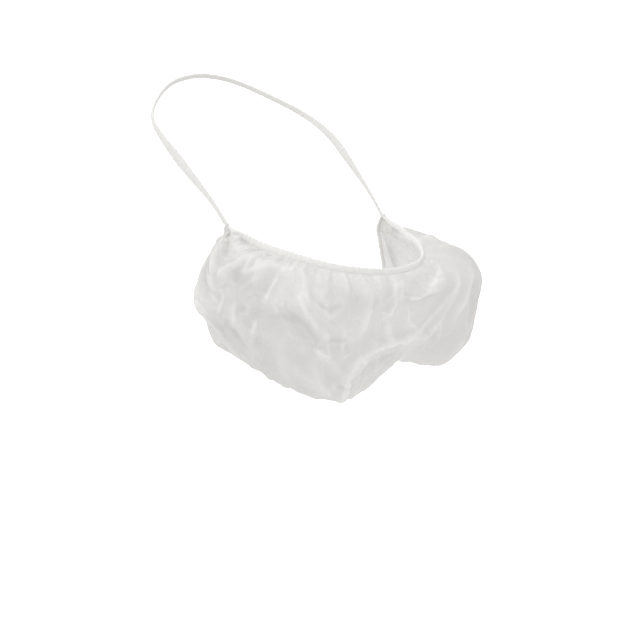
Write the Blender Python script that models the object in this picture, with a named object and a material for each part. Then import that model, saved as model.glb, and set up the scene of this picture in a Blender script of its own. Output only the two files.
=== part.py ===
"""Beard cover: a thin cloth bag gathered at both ears, held by an elastic round the head.

All lengths are in metres. The origin is the strap's inner face at the back of
the head, where the strap hangs on it. The wearer faces -Y, +Z is up and the
wearer's left is +X.
"""

import math

import bpy
import mathutils
import numpy as np

for old in list(bpy.data.objects):
    bpy.data.objects.remove(old, do_unlink=True)

# Where the cover sits
EAR_HALF_WIDTH = 0.070  # ear gather to the middle plane
EAR_FORWARD = 0.114  # ear gathers in front of the strap's back
EAR_BELOW = 0.0991  # ear gathers below the strap's back
HEAD_WIDER = 0.006  # how much further out than the ears the strap bows
HEAD_HALF_WIDTH = EAR_HALF_WIDTH + HEAD_WIDER  # strap to the middle plane where it is widest

# The bag
CHIN_DEPTH = 0.080  # chin hem in front of the ear gathers
BAG_DROP = 0.118  # lowest corner below the ear gathers
SIDE_REACH = 0.050  # how far the sides puff out past the hem
WALL = 0.0010  # cloth, with the air caught in its crumples
CLEARANCE = 0.0004  # between neighbouring pieces
TABLE_UNIT = 0.001  # fold heights, fold widths and strap widths in the tables count in this

# The hems and the strap
HEM_HALF_HEIGHT = 0.0023
HEM_HALF_THICKNESS = 0.0014
HEM_RIPPLE = 0.12  # share of the hem's size that its gathers take
STRAP_HALF_THICKNESS = 0.0009
STRAP_RIPPLE = 0.10
STRAP_LEAN = 0.3  # how little the strap's flat side follows the slope of the loop
RIPPLE_TURN = 2.1  # turn of the ripple from one step of a tube to the next
RIPPLE_SKEW = 1.3  # slant of the ripple round the tube
GATHER_REACH = 0.0070  # ear point to the gather's tip at the strap
GATHER_TIP_HALF_HEIGHT = 0.0017
GATHER_TIP_THICKNESS = 0.0014
GATHER_TIP_BULGE = 0.0006
GATHER_EASE = 0.0030  # how far the fan first follows the bag's surface
GATHER_PLEAT_HEIGHT = 0.0003
PLEAT_PEAK = 8.0  # pleats peak near the mouth and are gone at both ends

# Gathers in the cloth
HEM_GATHERS = 20  # folds of cloth along one hem, ear to ear
HEM_GATHER_HEIGHT = 0.0017
HEM_GATHER_FADE = 0.022  # distance from the hem where a gather has faded
GATHER_DRIFT = ((0.9, 5.3, 0.6), (0.5, 11.7, 2.0))  # size, turns, start of uneven spacing
EAR_PLEATS = 6  # folds that run into one ear gather
EAR_PLEAT_START = 1.5  # makes the two ears' pleats differ
EAR_PLEAT_HEIGHT = 0.0026
EAR_PLEAT_FADE = 0.034
BAG_SPAN = 6 * EAR_HALF_WIDTH  # ear to ear along the bag's belly
BAG_GIRTH = 0.15  # chin hem to throat hem along the bag

# Colours: red, green and blue of the cloth, and how dull it is
BAG_COLOUR = (0.84, 0.84, 0.82)
HEM_COLOUR = (0.90, 0.90, 0.88)
STRAP_COLOUR = (0.88, 0.87, 0.85)
GATHER_COLOUR = (0.86, 0.86, 0.84)
DULLNESS = 0.8

# How finely the surfaces are cut
BAG_COLUMNS = 90
BAG_ROWS = 21
CURVE_STEPS = 10  # points between two rows of a section
TUBE_STEPS = 64
TUBE_SIDES = 8
STRAP_STEPS = 50
STRAP_FINER = 16  # points of the path for each step, so that its ends meet the gathers
STATION_STEP = 0.004  # between the two stations that give a hem's direction
GATHER_STATION = 0.02  # between the two sections that give the bag's direction
GATHER_RINGS = 5
GATHER_COLUMNS = 14

# Sections from the wearer's right ear (-1) to the left ear (1). Turn is the
# way the section puffs out, in degrees from straight ahead. Side is a share of
# EAR_HALF_WIDTH, front of CHIN_DEPTH, drop of BAG_DROP, reach of SIDE_REACH.
SECTION_COLUMNS = (
    "station", "turn", "chin_side", "chin_front", "chin_drop", "reach", "shoulder_drop",
    "wide_drop", "base_reach", "base_drop", "throat_side", "throat_front", "throat_drop",
)
SECTIONS = (
    (-1.00, -124, -1.00, 0.11, 0.02, 0.10, 0.00, 0.070, 0.14, 0.090, -0.96, -0.06, 0.07),
    (-0.93, -120, -0.99, 0.17, 0.03, 0.45, -0.03, 0.18, 0.46, 0.30, -0.93, 0.04, 0.26),
    (-0.78, -106, -0.95, 0.32, 0.07, 0.80, 0.04, 0.46, 0.58, 0.59, -0.76, 0.22, 0.46),
    (-0.55, -78, -0.84, 0.58, 0.12, 0.68, 0.06, 0.48, 0.68, 0.825, -0.50, 0.33, 0.62),
    (-0.28, -38, -0.52, 0.87, 0.19, 0.36, 0.06, 0.50, 0.40, 0.94, -0.24, 0.36, 0.73),
    (0.00, 0, 0.00, 1.00, 0.22, 0.14, 0.03, 0.40, 0.05, 0.905, 0.00, 0.35, 0.75),
    (0.28, 38, 0.52, 0.87, 0.19, 0.38, 0.04, 0.42, 0.16, 0.77, 0.24, 0.36, 0.66),
    (0.55, 72, 0.84, 0.58, 0.12, 0.95, 0.01, 0.48, 0.84, 0.82, 0.50, 0.33, 0.58),
    (0.78, 90, 0.95, 0.32, 0.07, 0.90, 0.01, 0.47, 0.82, 0.71, 0.76, 0.22, 0.47),
    (0.93, 112, 0.99, 0.17, 0.03, 0.54, 0.01, 0.20, 0.52, 0.33, 0.93, 0.04, 0.27),
    (1.00, 124, 1.00, 0.11, 0.02, 0.10, 0.00, 0.070, 0.14, 0.090, 0.96, -0.06, 0.07),
)

# One section from the chin hem to the throat hem. Plan is the share of the way
# between the hems, out mixes the reaches and the rest mixes the drops.
PROFILE_COLUMNS = ("plan", "reach", "base_reach", "shoulder", "wide", "base", "throat")
PROFILE = (
    (0.00, 0.50, 0.00, 1.00, 0.00, 0.00, 0.00),
    (0.00, 0.93, 0.00, 0.55, 0.45, 0.00, 0.00),
    (0.10, 1.00, 0.00, 0.00, 1.00, 0.00, 0.00),
    (0.25, 0.45, 0.55, 0.00, 0.35, 0.65, 0.00),
    (0.50, 0.00, 0.55, 0.00, 0.00, 1.00, 0.00),
    (0.80, 0.00, 0.50, 0.00, 0.00, 0.22, 0.78),
)

# Folds of the cloth, each a path of points. Station is as in SECTIONS, girth is
# the share from the chin hem to the throat hem, height is outward. Height and
# half width count in TABLE_UNIT.
FOLD_COLUMNS = ("fold", "station", "girth", "height", "half_width")
FOLDS = (
    ("long crest", -0.22, 0.68, 3.0, 6.0),
    ("long crest", -0.24, 0.53, 3.5, 5.5),
    ("long crest", -0.10, 0.40, 4.0, 5.5),
    ("long crest", 0.14, 0.45, 4.0, 5.5),
    ("long crest", 0.25, 0.48, 5.5, 6.0),
    ("long crest", 0.30, 0.30, 4.5, 6.0),
    ("long crest", 0.35, 0.18, 2.0, 6.0),
    ("hollow under the crest", 0.00, 0.48, -3.0, 6.5),
    ("hollow under the crest", 0.12, 0.58, -4.0, 7.5),
    ("lip ruffle", 0.30, 0.06, 4.0, 5.0),
    ("lip ruffle", 0.26, 0.16, 4.5, 5.0),
    ("lip ruffle", 0.10, 0.18, 3.5, 5.0),
    ("ruffle hollow", 0.16, 0.08, -3.5, 6.0),
    ("hook fold", 0.00, 0.10, 2.0, 5.0),
    ("hook fold", -0.02, 0.24, 3.0, 5.5),
    ("chin crease", -0.33, 0.40, -2.5, 5.0),
    ("chin crease", -0.24, 0.38, -2.5, 5.0),
    ("diagonal groove", -0.46, 0.29, -2.5, 5.0),
    ("diagonal groove", -0.37, 0.40, -3.0, 5.0),
    ("groove lip", -0.42, 0.22, 2.5, 5.5),
    ("groove lip", -0.34, 0.34, 2.5, 5.0),
    ("chin ridge", -0.44, 0.07, 2.0, 4.5),
    ("chin ridge", -0.41, 0.20, 2.5, 4.5),
    ("jaw pocket", -0.65, 0.23, -3.5, 7.5),
    ("jaw pocket", -0.55, 0.24, -4.0, 8.0),
    ("arch over the pocket", -0.72, 0.27, 3.0, 5.5),
    ("arch over the pocket", -0.70, 0.14, 3.5, 5.5),
    ("arch over the pocket", -0.57, 0.12, 2.5, 5.5),
    ("side fold", -0.80, 0.44, 3.5, 5.5),
    ("side fold", -0.72, 0.56, 3.5, 5.5),
    ("dark strip", -0.84, 0.52, -2.5, 6.0),
    ("dark strip", -0.77, 0.62, -2.5, 6.0),
    ("belly streak", -0.64, 0.38, 2.5, 5.0),
    ("belly streak", -0.56, 0.50, 3.0, 5.5),
    ("ear dimple", -0.86, 0.14, -2.5, 6.0),
    ("wing fold", 0.52, 0.10, 3.0, 6.0),
    ("wing fold", 0.62, 0.36, 3.0, 6.5),
    ("wing groove", 0.45, 0.30, -3.0, 7.0),
    ("wing groove", 0.52, 0.52, -3.0, 7.0),
    ("wing belly", 0.68, 0.50, 3.0, 6.5),
    ("wing belly", 0.55, 0.66, 2.5, 6.5),
    ("wing dimple", 0.84, 0.22, -3.0, 7.0),
)

# The strap from the right ear (-1) to the back of the head (0). Side is a share
# of HEAD_HALF_WIDTH, back of EAR_FORWARD, rise of EAR_BELOW. Half width counts
# in TABLE_UNIT.
STRAP_COLUMNS = ("station", "side", "back", "rise", "half_width")
STRAP = (
    (-1.00, 0.92, 0.00, 0.00, 1.4),
    (-0.86, 0.94, 0.14, 0.18, 1.8),
    (-0.76, 0.96, 0.27, 0.31, 2.9),
    (-0.66, 0.98, 0.40, 0.44, 3.6),
    (-0.52, 0.98, 0.55, 0.58, 2.6),
    (-0.36, 0.90, 0.72, 0.71, 1.9),
    (-0.22, 0.68, 0.86, 0.83, 1.7),
    (-0.10, 0.36, 0.97, 0.95, 1.7),
    (0.00, 0.00, 1.00, 1.00, 1.7),
)

UP = np.array([0.0, 0.0, 1.0])


def smooth_value(stations, values, where):
    """Value at any station, on a smooth curve through the given ones."""
    last = len(stations) - 1
    k = min(max(sum(1 for s in stations if s <= where) - 1, 0), last - 1)
    width = stations[k + 1] - stations[k]
    t = (where - stations[k]) / width
    slopes = []
    for at in (k, k + 1):
        before = max(at - 1, 0)
        after = min(at + 1, last)
        rise = values[after] - values[before]
        slopes.append(rise / (stations[after] - stations[before]) * width)
    return (
        (2 * t**3 - 3 * t**2 + 1) * values[k]
        + (t**3 - 2 * t**2 + t) * slopes[0]
        + (3 * t**2 - 2 * t**3) * values[k + 1]
        + (t**3 - t**2) * slopes[1]
    )


def table_at(columns, rows, where):
    """The row of a table at any station."""
    stations = [row[0] for row in rows]
    return {
        name: smooth_value(stations, [row[column] for row in rows], where)
        for column, name in enumerate(columns)
    }


def curve_through(points, steps):
    """A smooth curve through points that doesn't loop where two are close."""
    points = np.array(points)
    gaps = np.sqrt(np.linalg.norm(np.diff(points, axis=0), axis=1))
    stations = np.concatenate([[0.0], np.cumsum(gaps)])
    count = steps * (len(points) - 1) + 1
    wanted = np.linspace(0.0, stations[-1], count)
    return np.array([smooth_value(stations, points, where) for where in wanted])


def spaced(points, count):
    """Points at even distances along a curve."""
    steps = np.linalg.norm(np.diff(points, axis=0), axis=1)
    along = np.concatenate([[0.0], np.cumsum(steps)])
    wanted = np.linspace(0.0, along[-1], count)
    return np.array([np.interp(wanted, along, points[:, axis]) for axis in range(3)]).T


def hem_point(row, hem):
    """Middle of the chin or throat hem at a row of the section table."""
    return np.array([
        row[hem + "_side"] * EAR_HALF_WIDTH,
        -EAR_FORWARD - row[hem + "_front"] * CHIN_DEPTH,
        -EAR_BELOW - row[hem + "_drop"] * BAG_DROP,
    ])


def hem_way(station, hem):
    """Direction of a hem at a station, from the right ear to the left."""
    before = table_at(SECTION_COLUMNS, SECTIONS, max(station - STATION_STEP, -1.0))
    after = table_at(SECTION_COLUMNS, SECTIONS, min(station + STATION_STEP, 1.0))
    way = hem_point(after, hem) - hem_point(before, hem)
    return way / np.linalg.norm(way)


def beside(point, towards, way, distance):
    """A point at a distance from a hem, square to it, on the side towards a point."""
    side = towards - point
    side = side - way * side.dot(way)
    return point + side / np.linalg.norm(side) * distance


def section(station):
    """The middle of the cloth from the chin hem to the throat hem."""
    row = table_at(SECTION_COLUMNS, SECTIONS, station)
    turn = math.radians(row["turn"])
    outward = np.array([math.sin(turn), -math.cos(turn), 0.0])
    chin = hem_point(row, "chin")
    throat = hem_point(row, "throat")
    seam = HEM_HALF_HEIGHT * (1 + HEM_RIPPLE) + CLEARANCE + WALL / 2
    heights = {
        "shoulder": chin[2] - row["shoulder_drop"] * BAG_DROP - seam,
        "wide": -EAR_BELOW - row["wide_drop"] * BAG_DROP,
        "base": -EAR_BELOW - row["base_drop"] * BAG_DROP,
        "throat": throat[2],
    }
    points = [beside(chin, chin - UP, hem_way(station, "chin"), seam)]
    for values in PROFILE:
        share = dict(zip(PROFILE_COLUMNS, values))
        plan = chin * (1 - share["plan"]) + throat * share["plan"]
        out = share["reach"] * row["reach"] + share["base_reach"] * row["base_reach"]
        point = plan + outward * out * SIDE_REACH
        point[2] = sum(share[name] * height for name, height in heights.items())
        points.append(point)
    below = throat + outward - UP * (1 - abs(station))
    points.append(beside(throat, below, hem_way(station, "throat"), seam))
    return curve_through(points, CURVE_STEPS)


def fold_height(station, girth):
    """How far the folds lift the cloth at each place."""
    lift = np.zeros_like(station)
    across = station * BAG_SPAN / 2
    down = girth * BAG_GIRTH
    for name in dict.fromkeys(row[0] for row in FOLDS):
        path = [dict(zip(FOLD_COLUMNS, row)) for row in FOLDS if row[0] == name]
        if len(path) == 1:
            path = path * 2
        strongest = np.zeros_like(station)
        for start, end in zip(path[:-1], path[1:]):
            x0 = start["station"] * BAG_SPAN / 2
            y0 = start["girth"] * BAG_GIRTH
            dx = end["station"] * BAG_SPAN / 2 - x0
            dy = end["girth"] * BAG_GIRTH - y0
            reach = max(dx * dx + dy * dy, WALL * WALL)
            t = np.clip(((across - x0) * dx + (down - y0) * dy) / reach, 0, 1)
            away = np.hypot(across - x0 - t * dx, down - y0 - t * dy)
            height = start["height"] + t * (end["height"] - start["height"])
            half_width = start["half_width"] + t * (end["half_width"] - start["half_width"])
            here = height * TABLE_UNIT * np.exp(-((away / (half_width * TABLE_UNIT)) ** 2))
            strongest = np.where(np.abs(here) > np.abs(strongest), here, strongest)
        lift += strongest
    return lift


def gather_height(station, girth):
    """Gathers along both hems and pleats that run into the ears."""
    across = station * BAG_SPAN / 2
    down = girth * BAG_GIRTH
    ear = BAG_SPAN / 2 - np.abs(across)
    drift = sum(size * np.sin(turns * station + start) for size, turns, start in GATHER_DRIFT)
    wave = np.sin(math.pi * HEM_GATHERS * station + drift)
    chin_side = np.exp(-down / HEM_GATHER_FADE) * np.clip(down / WALL, 0, 1)
    throat_side = np.exp(-(BAG_GIRTH - down) / HEM_GATHER_FADE)
    throat_side = throat_side * np.clip((BAG_GIRTH - down) / WALL, 0, 1)
    clear_of_ear = np.clip(ear / EAR_PLEAT_FADE, 0, 1)
    hems = HEM_GATHER_HEIGHT * wave * (chin_side + throat_side) * clear_of_ear
    fan = np.sin(2 * math.pi * EAR_PLEATS * girth + EAR_PLEAT_START * np.sign(station))
    size = ear / EAR_PLEAT_FADE * np.exp(1 - ear / EAR_PLEAT_FADE)
    edge = np.clip(np.minimum(down, BAG_GIRTH - down) / HEM_GATHER_FADE, 0, 1)
    return hems + EAR_PLEAT_HEIGHT * fan * size * edge


def grid_normals(points):
    """Outward direction at every point of a grid of points."""
    normals = np.cross(np.gradient(points, axis=1), np.gradient(points, axis=0))
    return normals / np.linalg.norm(normals, axis=2)[:, :, None]


def bag_points():
    """The middle of the cloth with all its folds, and its outward directions."""
    stations = np.linspace(-1, 1, BAG_COLUMNS + 1)
    plain = np.array([spaced(section(station), BAG_ROWS + 1) for station in stations])
    girths = np.linspace(0, 1, BAG_ROWS + 1)
    station, girth = np.meshgrid(stations, girths, indexing="ij")
    lift = fold_height(station, girth) + gather_height(station, girth)
    edge = np.clip(np.minimum(girth, 1 - girth) * BAG_GIRTH / HEM_HALF_HEIGHT, 0, 1)
    ends = np.clip((1 - np.abs(station)) * BAG_SPAN / 2 / EAR_PLEAT_FADE, 0, 1)
    folded = plain + grid_normals(plain) * (lift * edge * ends)[:, :, None]
    return folded, grid_normals(folded)


def add_piece(name, vertices, faces, colour):
    """A solid with its own colour."""
    mesh = bpy.data.meshes.new(name)
    mesh.from_pydata([tuple(v) for v in vertices], [], faces)
    mesh.validate()
    material = bpy.data.materials.new(name + "_cloth")
    material.use_nodes = True
    shader = material.node_tree.nodes["Principled BSDF"]
    shader.inputs["Base Color"].default_value = (*colour, 1.0)
    shader.inputs["Roughness"].default_value = DULLNESS
    mesh.materials.append(material)
    piece = bpy.data.objects.new(name, mesh)
    bpy.context.scene.collection.objects.link(piece)
    return piece


def grid_faces(columns, rows, first, flip):
    """Triangles of a grid, each quad cut the same way."""
    faces = []
    for i in range(columns):
        for j in range(rows):
            a = first + i * (rows + 1) + j
            b = a + rows + 1
            for triangle in ((a, b, b + 1), (a, b + 1, a + 1)):
                faces.append(triangle[::-1] if flip else triangle)
    return faces


def add_sheet(name, middle, outward, thickness, colour):
    """A sheet of cloth: an outer and an inner face joined round the edge."""
    columns, rows = middle.shape[0] - 1, middle.shape[1] - 1
    offset = outward * np.asarray(thickness)[..., None] / 2
    outer = (middle + offset).reshape(-1, 3)
    inner = (middle - offset).reshape(-1, 3)
    count = len(outer)
    faces = grid_faces(columns, rows, 0, True)
    faces += grid_faces(columns, rows, count, False)
    stride = rows + 1
    rim = [i * stride for i in range(columns)]
    rim += [columns * stride + j for j in range(rows)]
    rim += [i * stride + rows for i in range(columns, 0, -1)]
    rim += [j for j in range(rows, 0, -1)]
    for a, b in zip(rim, rim[1:] + rim[:1]):
        faces.append((a, b, b + count))
        faces.append((a, b + count, a + count))
    return add_piece(name, np.vstack([outer, inner]), faces, colour)


def add_bag():
    """The cloth bag over the chin."""
    middle, outward = bag_points()
    thickness = np.full(middle.shape[:2], WALL)
    return add_sheet("pouch", middle, outward, thickness, BAG_COLOUR)


def add_tube(name, middle, wide_way, half_widths, half_thickness, ripple, colour):
    """A closed flat tube along a path, rippled by its gathers."""
    steps = len(middle)
    along = np.gradient(middle, axis=0)
    along /= np.linalg.norm(along, axis=1)[:, None]
    thin_way = np.cross(along, wide_way)
    thin_way /= np.linalg.norm(thin_way, axis=1)[:, None]
    wide_way = np.cross(thin_way, along)
    vertices = []
    for i in range(steps):
        for k in range(TUBE_SIDES):
            angle = 2 * math.pi * (k + 0.5) / TUBE_SIDES
            wave = RIPPLE_TURN * i + RIPPLE_SKEW * math.sin(angle)
            size = 1 + ripple * math.sin(wave)
            wide = math.cos(angle) * half_widths[i] * size
            thin = math.sin(angle) * half_thickness * size
            vertices.append(middle[i] + wide_way[i] * wide + thin_way[i] * thin)
    faces = []
    for i in range(steps - 1):
        for k in range(TUBE_SIDES):
            a = i * TUBE_SIDES + k
            b = i * TUBE_SIDES + (k + 1) % TUBE_SIDES
            faces.append((a, a + TUBE_SIDES, b + TUBE_SIDES))
            faces.append((a, b + TUBE_SIDES, b))
    last = (steps - 1) * TUBE_SIDES
    for k in range(1, TUBE_SIDES - 1):
        faces.append((0, k, k + 1))
        faces.append((last, last + k + 1, last + k))
    return add_piece(name, vertices, faces, colour)


def add_hem(name, hem):
    """The gathered hem along one edge of the bag, from ear to ear."""
    stations = np.linspace(-1, 1, 4 * TUBE_STEPS)
    rows = [table_at(SECTION_COLUMNS, SECTIONS, station) for station in stations]
    points = np.array([hem_point(row, hem) for row in rows])
    middle = spaced(points, TUBE_STEPS)
    edge = 0 if hem == "chin" else -1
    cloth = np.array([section(station)[edge] for station in stations])
    nearest = [np.argmin(np.linalg.norm(points - point, axis=1)) for point in middle]
    wide_way = (cloth - points)[nearest]
    half_widths = np.full(TUBE_STEPS, HEM_HALF_HEIGHT)
    return add_tube(name, middle, wide_way, half_widths, HEM_HALF_THICKNESS, HEM_RIPPLE,
                    HEM_COLOUR)


def ear_point(side):
    """Middle of an ear gather."""
    return np.array([side * EAR_HALF_WIDTH, -EAR_FORWARD, -EAR_BELOW])


def strap_middle():
    """The strap's path from ear to ear, and its half width along it."""
    stations = np.linspace(-1, 0, STRAP_FINER * STRAP_STEPS)
    rows = [table_at(STRAP_COLUMNS, STRAP, station) for station in stations]
    right = np.array([
        [
            -row["side"] * HEAD_HALF_WIDTH,
            (row["back"] - 1) * EAR_FORWARD + STRAP_HALF_THICKNESS * (1 + STRAP_RIPPLE),
            (row["rise"] - 1) * EAR_BELOW,
        ]
        for row in rows
    ])
    widths = np.array([row["half_width"] * TABLE_UNIT for row in rows])
    left = right[-2::-1] * np.array([-1.0, 1.0, 1.0])
    return np.vstack([right, left]), np.concatenate([widths, widths[-2::-1]])


def strap_way(side):
    """Direction in which the strap leaves an ear gather."""
    first, second = STRAP[0], STRAP[1]
    way = np.array([
        side * (second[1] - first[1]) * HEAD_HALF_WIDTH,
        (second[2] - first[2]) * EAR_FORWARD,
        (second[3] - first[3]) * EAR_BELOW,
    ])
    return way / np.linalg.norm(way)


def add_strap(gathers):
    """The elastic in its gathered sleeve, over both ears and round the head."""
    points, widths = strap_middle()
    free = {}
    for side, gather in gathers.items():
        reaches = [np.dot(v.co - mathutils.Vector(ear_point(side)), strap_way(side))
                   for v in gather.data.vertices]
        free[side] = max(reaches) + CLEARANCE
    keep = [
        np.dot(p - ear_point(np.sign(p[0])), strap_way(np.sign(p[0]))) > free[np.sign(p[0])]
        if p[0] else True
        for p in points
    ]
    points, widths = points[keep], widths[keep]
    middle = spaced(points, STRAP_STEPS)
    half_widths = np.interp(np.linspace(0, 1, STRAP_STEPS), np.linspace(0, 1, len(points)), widths)
    along = np.gradient(middle, axis=0)
    centre = np.array([0.0, -EAR_FORWARD / 2, -EAR_BELOW / 2])
    from_head = (middle - centre) * np.array([1.0, 1.0, STRAP_LEAN])
    wide_way = np.cross(from_head, along)
    return add_tube("head_strap", middle, wide_way, half_widths, STRAP_HALF_THICKNESS,
                    STRAP_RIPPLE, STRAP_COLOUR)


def add_ear_gather(name, side):
    """The pleated fan where the bag, the hems and the strap meet."""
    mouth = spaced(section(side), GATHER_COLUMNS + 1)
    beyond = spaced(section(side * (1 - GATHER_STATION)), GATHER_COLUMNS + 1)
    back = mouth - beyond
    back /= np.linalg.norm(back, axis=1)[:, None]
    way = strap_way(side)
    high = np.cross(way, [-side, 0.0, 0.0]) * side
    tip = ear_point(side) + way * GATHER_REACH
    girth = np.linspace(0, 1, GATHER_COLUMNS + 1)
    bulge = np.array([side, 0.0, 0.0]) * GATHER_TIP_BULGE
    ends = tip + bulge * np.sin(math.pi * girth)[:, None]
    ends = ends + high * ((1 - 2 * girth) * GATHER_TIP_HALF_HEIGHT)[:, None]
    starts = mouth + back * CLEARANCE
    bends = starts + back * GATHER_EASE
    share = np.linspace(0, 1, GATHER_RINGS + 1)[:, None, None]
    middle = (1 - share) ** 2 * starts + 2 * share * (1 - share) * bends + share**2 * ends
    outward = grid_normals(middle)
    thickness = WALL + (GATHER_TIP_THICKNESS - WALL) * share[:, :, 0] ** 3
    thickness = np.broadcast_to(thickness, middle.shape[:2])
    pleats = np.sin(math.pi * EAR_PLEATS * girth) * GATHER_PLEAT_HEIGHT
    fade = PLEAT_PEAK * share[:, :, 0] * (1 - share[:, :, 0]) ** 3
    middle = middle + outward * (fade * pleats[None, :])[:, :, None]
    return add_sheet(name, middle, outward, thickness, GATHER_COLOUR)


def face_outward(piece):
    """Turn a closed piece's faces outward if its volume comes out negative."""
    mesh = piece.data
    volume = 0.0
    for polygon in mesh.polygons:
        a, b, c = (mesh.vertices[i].co for i in polygon.vertices)
        volume += a.dot(b.cross(c)) / 6
    if volume < 0:
        mesh.flip_normals()


EAR_GATHERS = {
    -1.0: add_ear_gather("ear_gather_right", -1.0),
    1.0: add_ear_gather("ear_gather_left", 1.0),
}
PIECES = (
    add_bag(),
    add_hem("chin_hem", "chin"),
    add_hem("throat_hem", "throat"),
    add_strap(EAR_GATHERS),
    *EAR_GATHERS.values(),
)
for piece in PIECES:
    face_outward(piece)
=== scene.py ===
"""Beard cover, dressed for its picture.

A thin white nonwoven bag hangs between two gathered hems. Both hems and the
bag run together into a pleated gather at each ear, and a narrow gathered
strap joins the two gathers round the back of the head. All lengths are in
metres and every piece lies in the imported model's own frame: the origin is the
strap's inner face at the back of the head, -Y is the way the wearer faces, +Z
is up and +X is the wearer's left.
"""

import math

import bpy
import mathutils
import numpy as np
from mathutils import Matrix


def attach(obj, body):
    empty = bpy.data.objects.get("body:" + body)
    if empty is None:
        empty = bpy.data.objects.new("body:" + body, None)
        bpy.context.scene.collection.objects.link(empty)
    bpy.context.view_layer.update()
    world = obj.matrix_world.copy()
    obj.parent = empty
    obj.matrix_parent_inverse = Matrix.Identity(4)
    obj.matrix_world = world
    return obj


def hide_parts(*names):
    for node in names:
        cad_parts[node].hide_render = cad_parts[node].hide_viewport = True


bl_info = {
    "name": "Beard Cover",
    "version": (1, 0, 0),
    "blender": (4, 5, 0),
    "location": "View3D > Sidebar > Beard Cover",
    "description": "Makes a thin cloth beard cover with gathered hems, strap and ear gathers",
    "category": "Mesh",
}

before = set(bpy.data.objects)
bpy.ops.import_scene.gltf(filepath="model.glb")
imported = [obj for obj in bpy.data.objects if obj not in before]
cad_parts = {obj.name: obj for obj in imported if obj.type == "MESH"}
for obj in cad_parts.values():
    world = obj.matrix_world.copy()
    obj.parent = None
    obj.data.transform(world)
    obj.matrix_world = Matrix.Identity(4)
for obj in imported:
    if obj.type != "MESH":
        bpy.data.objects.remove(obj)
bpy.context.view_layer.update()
UP = np.array([0.0, 0.0, 1.0])

# Where the cover sits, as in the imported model
EAR_HALF_WIDTH = 0.070
EAR_FORWARD = 0.114
EAR_BELOW = 0.0991
HEAD_HALF_WIDTH = 0.076
CHIN_DEPTH = 0.080
BAG_DROP = 0.118
SIDE_REACH = 0.050
BAG_SPAN = 0.42  # ear to ear along the bag's belly
BAG_GIRTH = 0.15  # chin hem to throat hem along the bag
HEM_SEAM = 0.0016  # hem's middle line to the edge of the bag's cloth
TABLE_UNIT = 0.001  # heights and widths in the tables count in this
STATION_STEP = 0.004  # between the two stations that give a hem's direction
CURVE_STEPS = 10  # points between two rows of a section

# Sections from the wearer's right ear (-1) to the left ear (1). Turn is the
# way the section puffs out, in degrees from straight ahead. Side is a share of
# EAR_HALF_WIDTH, front of CHIN_DEPTH, drop of BAG_DROP, reach of SIDE_REACH.
SECTION_COLUMNS = (
    "station", "turn", "chin_side", "chin_front", "chin_drop", "reach", "shoulder_drop",
    "wide_drop", "base_reach", "base_drop", "throat_side", "throat_front", "throat_drop",
)
SECTIONS = (
    (-1.00, -124, -1.00, 0.11, 0.02, 0.10, 0.00, 0.070, 0.14, 0.090, -0.96, -0.06, 0.07),
    (-0.93, -120, -0.99, 0.17, 0.03, 0.45, -0.03, 0.18, 0.46, 0.30, -0.93, 0.04, 0.26),
    (-0.78, -106, -0.95, 0.32, 0.07, 0.80, 0.04, 0.46, 0.58, 0.59, -0.76, 0.22, 0.46),
    (-0.55, -78, -0.84, 0.58, 0.12, 0.68, 0.06, 0.48, 0.68, 0.825, -0.50, 0.33, 0.62),
    (-0.28, -38, -0.52, 0.87, 0.19, 0.36, 0.06, 0.50, 0.40, 0.94, -0.24, 0.36, 0.73),
    (0.00, 0, 0.00, 1.00, 0.22, 0.14, 0.03, 0.40, 0.05, 0.905, 0.00, 0.35, 0.75),
    (0.28, 38, 0.52, 0.87, 0.19, 0.38, 0.04, 0.42, 0.16, 0.77, 0.24, 0.36, 0.66),
    (0.55, 72, 0.84, 0.58, 0.12, 0.95, 0.01, 0.48, 0.84, 0.82, 0.50, 0.33, 0.58),
    (0.78, 90, 0.95, 0.32, 0.07, 0.90, 0.01, 0.47, 0.82, 0.71, 0.76, 0.22, 0.47),
    (0.93, 112, 0.99, 0.17, 0.03, 0.54, 0.01, 0.20, 0.52, 0.33, 0.93, 0.04, 0.27),
    (1.00, 124, 1.00, 0.11, 0.02, 0.10, 0.00, 0.070, 0.14, 0.090, 0.96, -0.06, 0.07),
)

# One section from the chin hem to the throat hem. Plan is the share of the way
# between the hems, the two reaches push outward and the rest mixes the drops.
PROFILE_COLUMNS = ("plan", "reach", "base_reach", "shoulder", "wide", "base", "throat")
PROFILE = (
    (0.00, 0.50, 0.00, 1.00, 0.00, 0.00, 0.00),
    (0.00, 0.93, 0.00, 0.55, 0.45, 0.00, 0.00),
    (0.10, 1.00, 0.00, 0.00, 1.00, 0.00, 0.00),
    (0.25, 0.45, 0.55, 0.00, 0.35, 0.65, 0.00),
    (0.50, 0.00, 0.55, 0.00, 0.00, 1.00, 0.00),
    (0.80, 0.00, 0.50, 0.00, 0.00, 0.22, 0.78),
)

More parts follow.
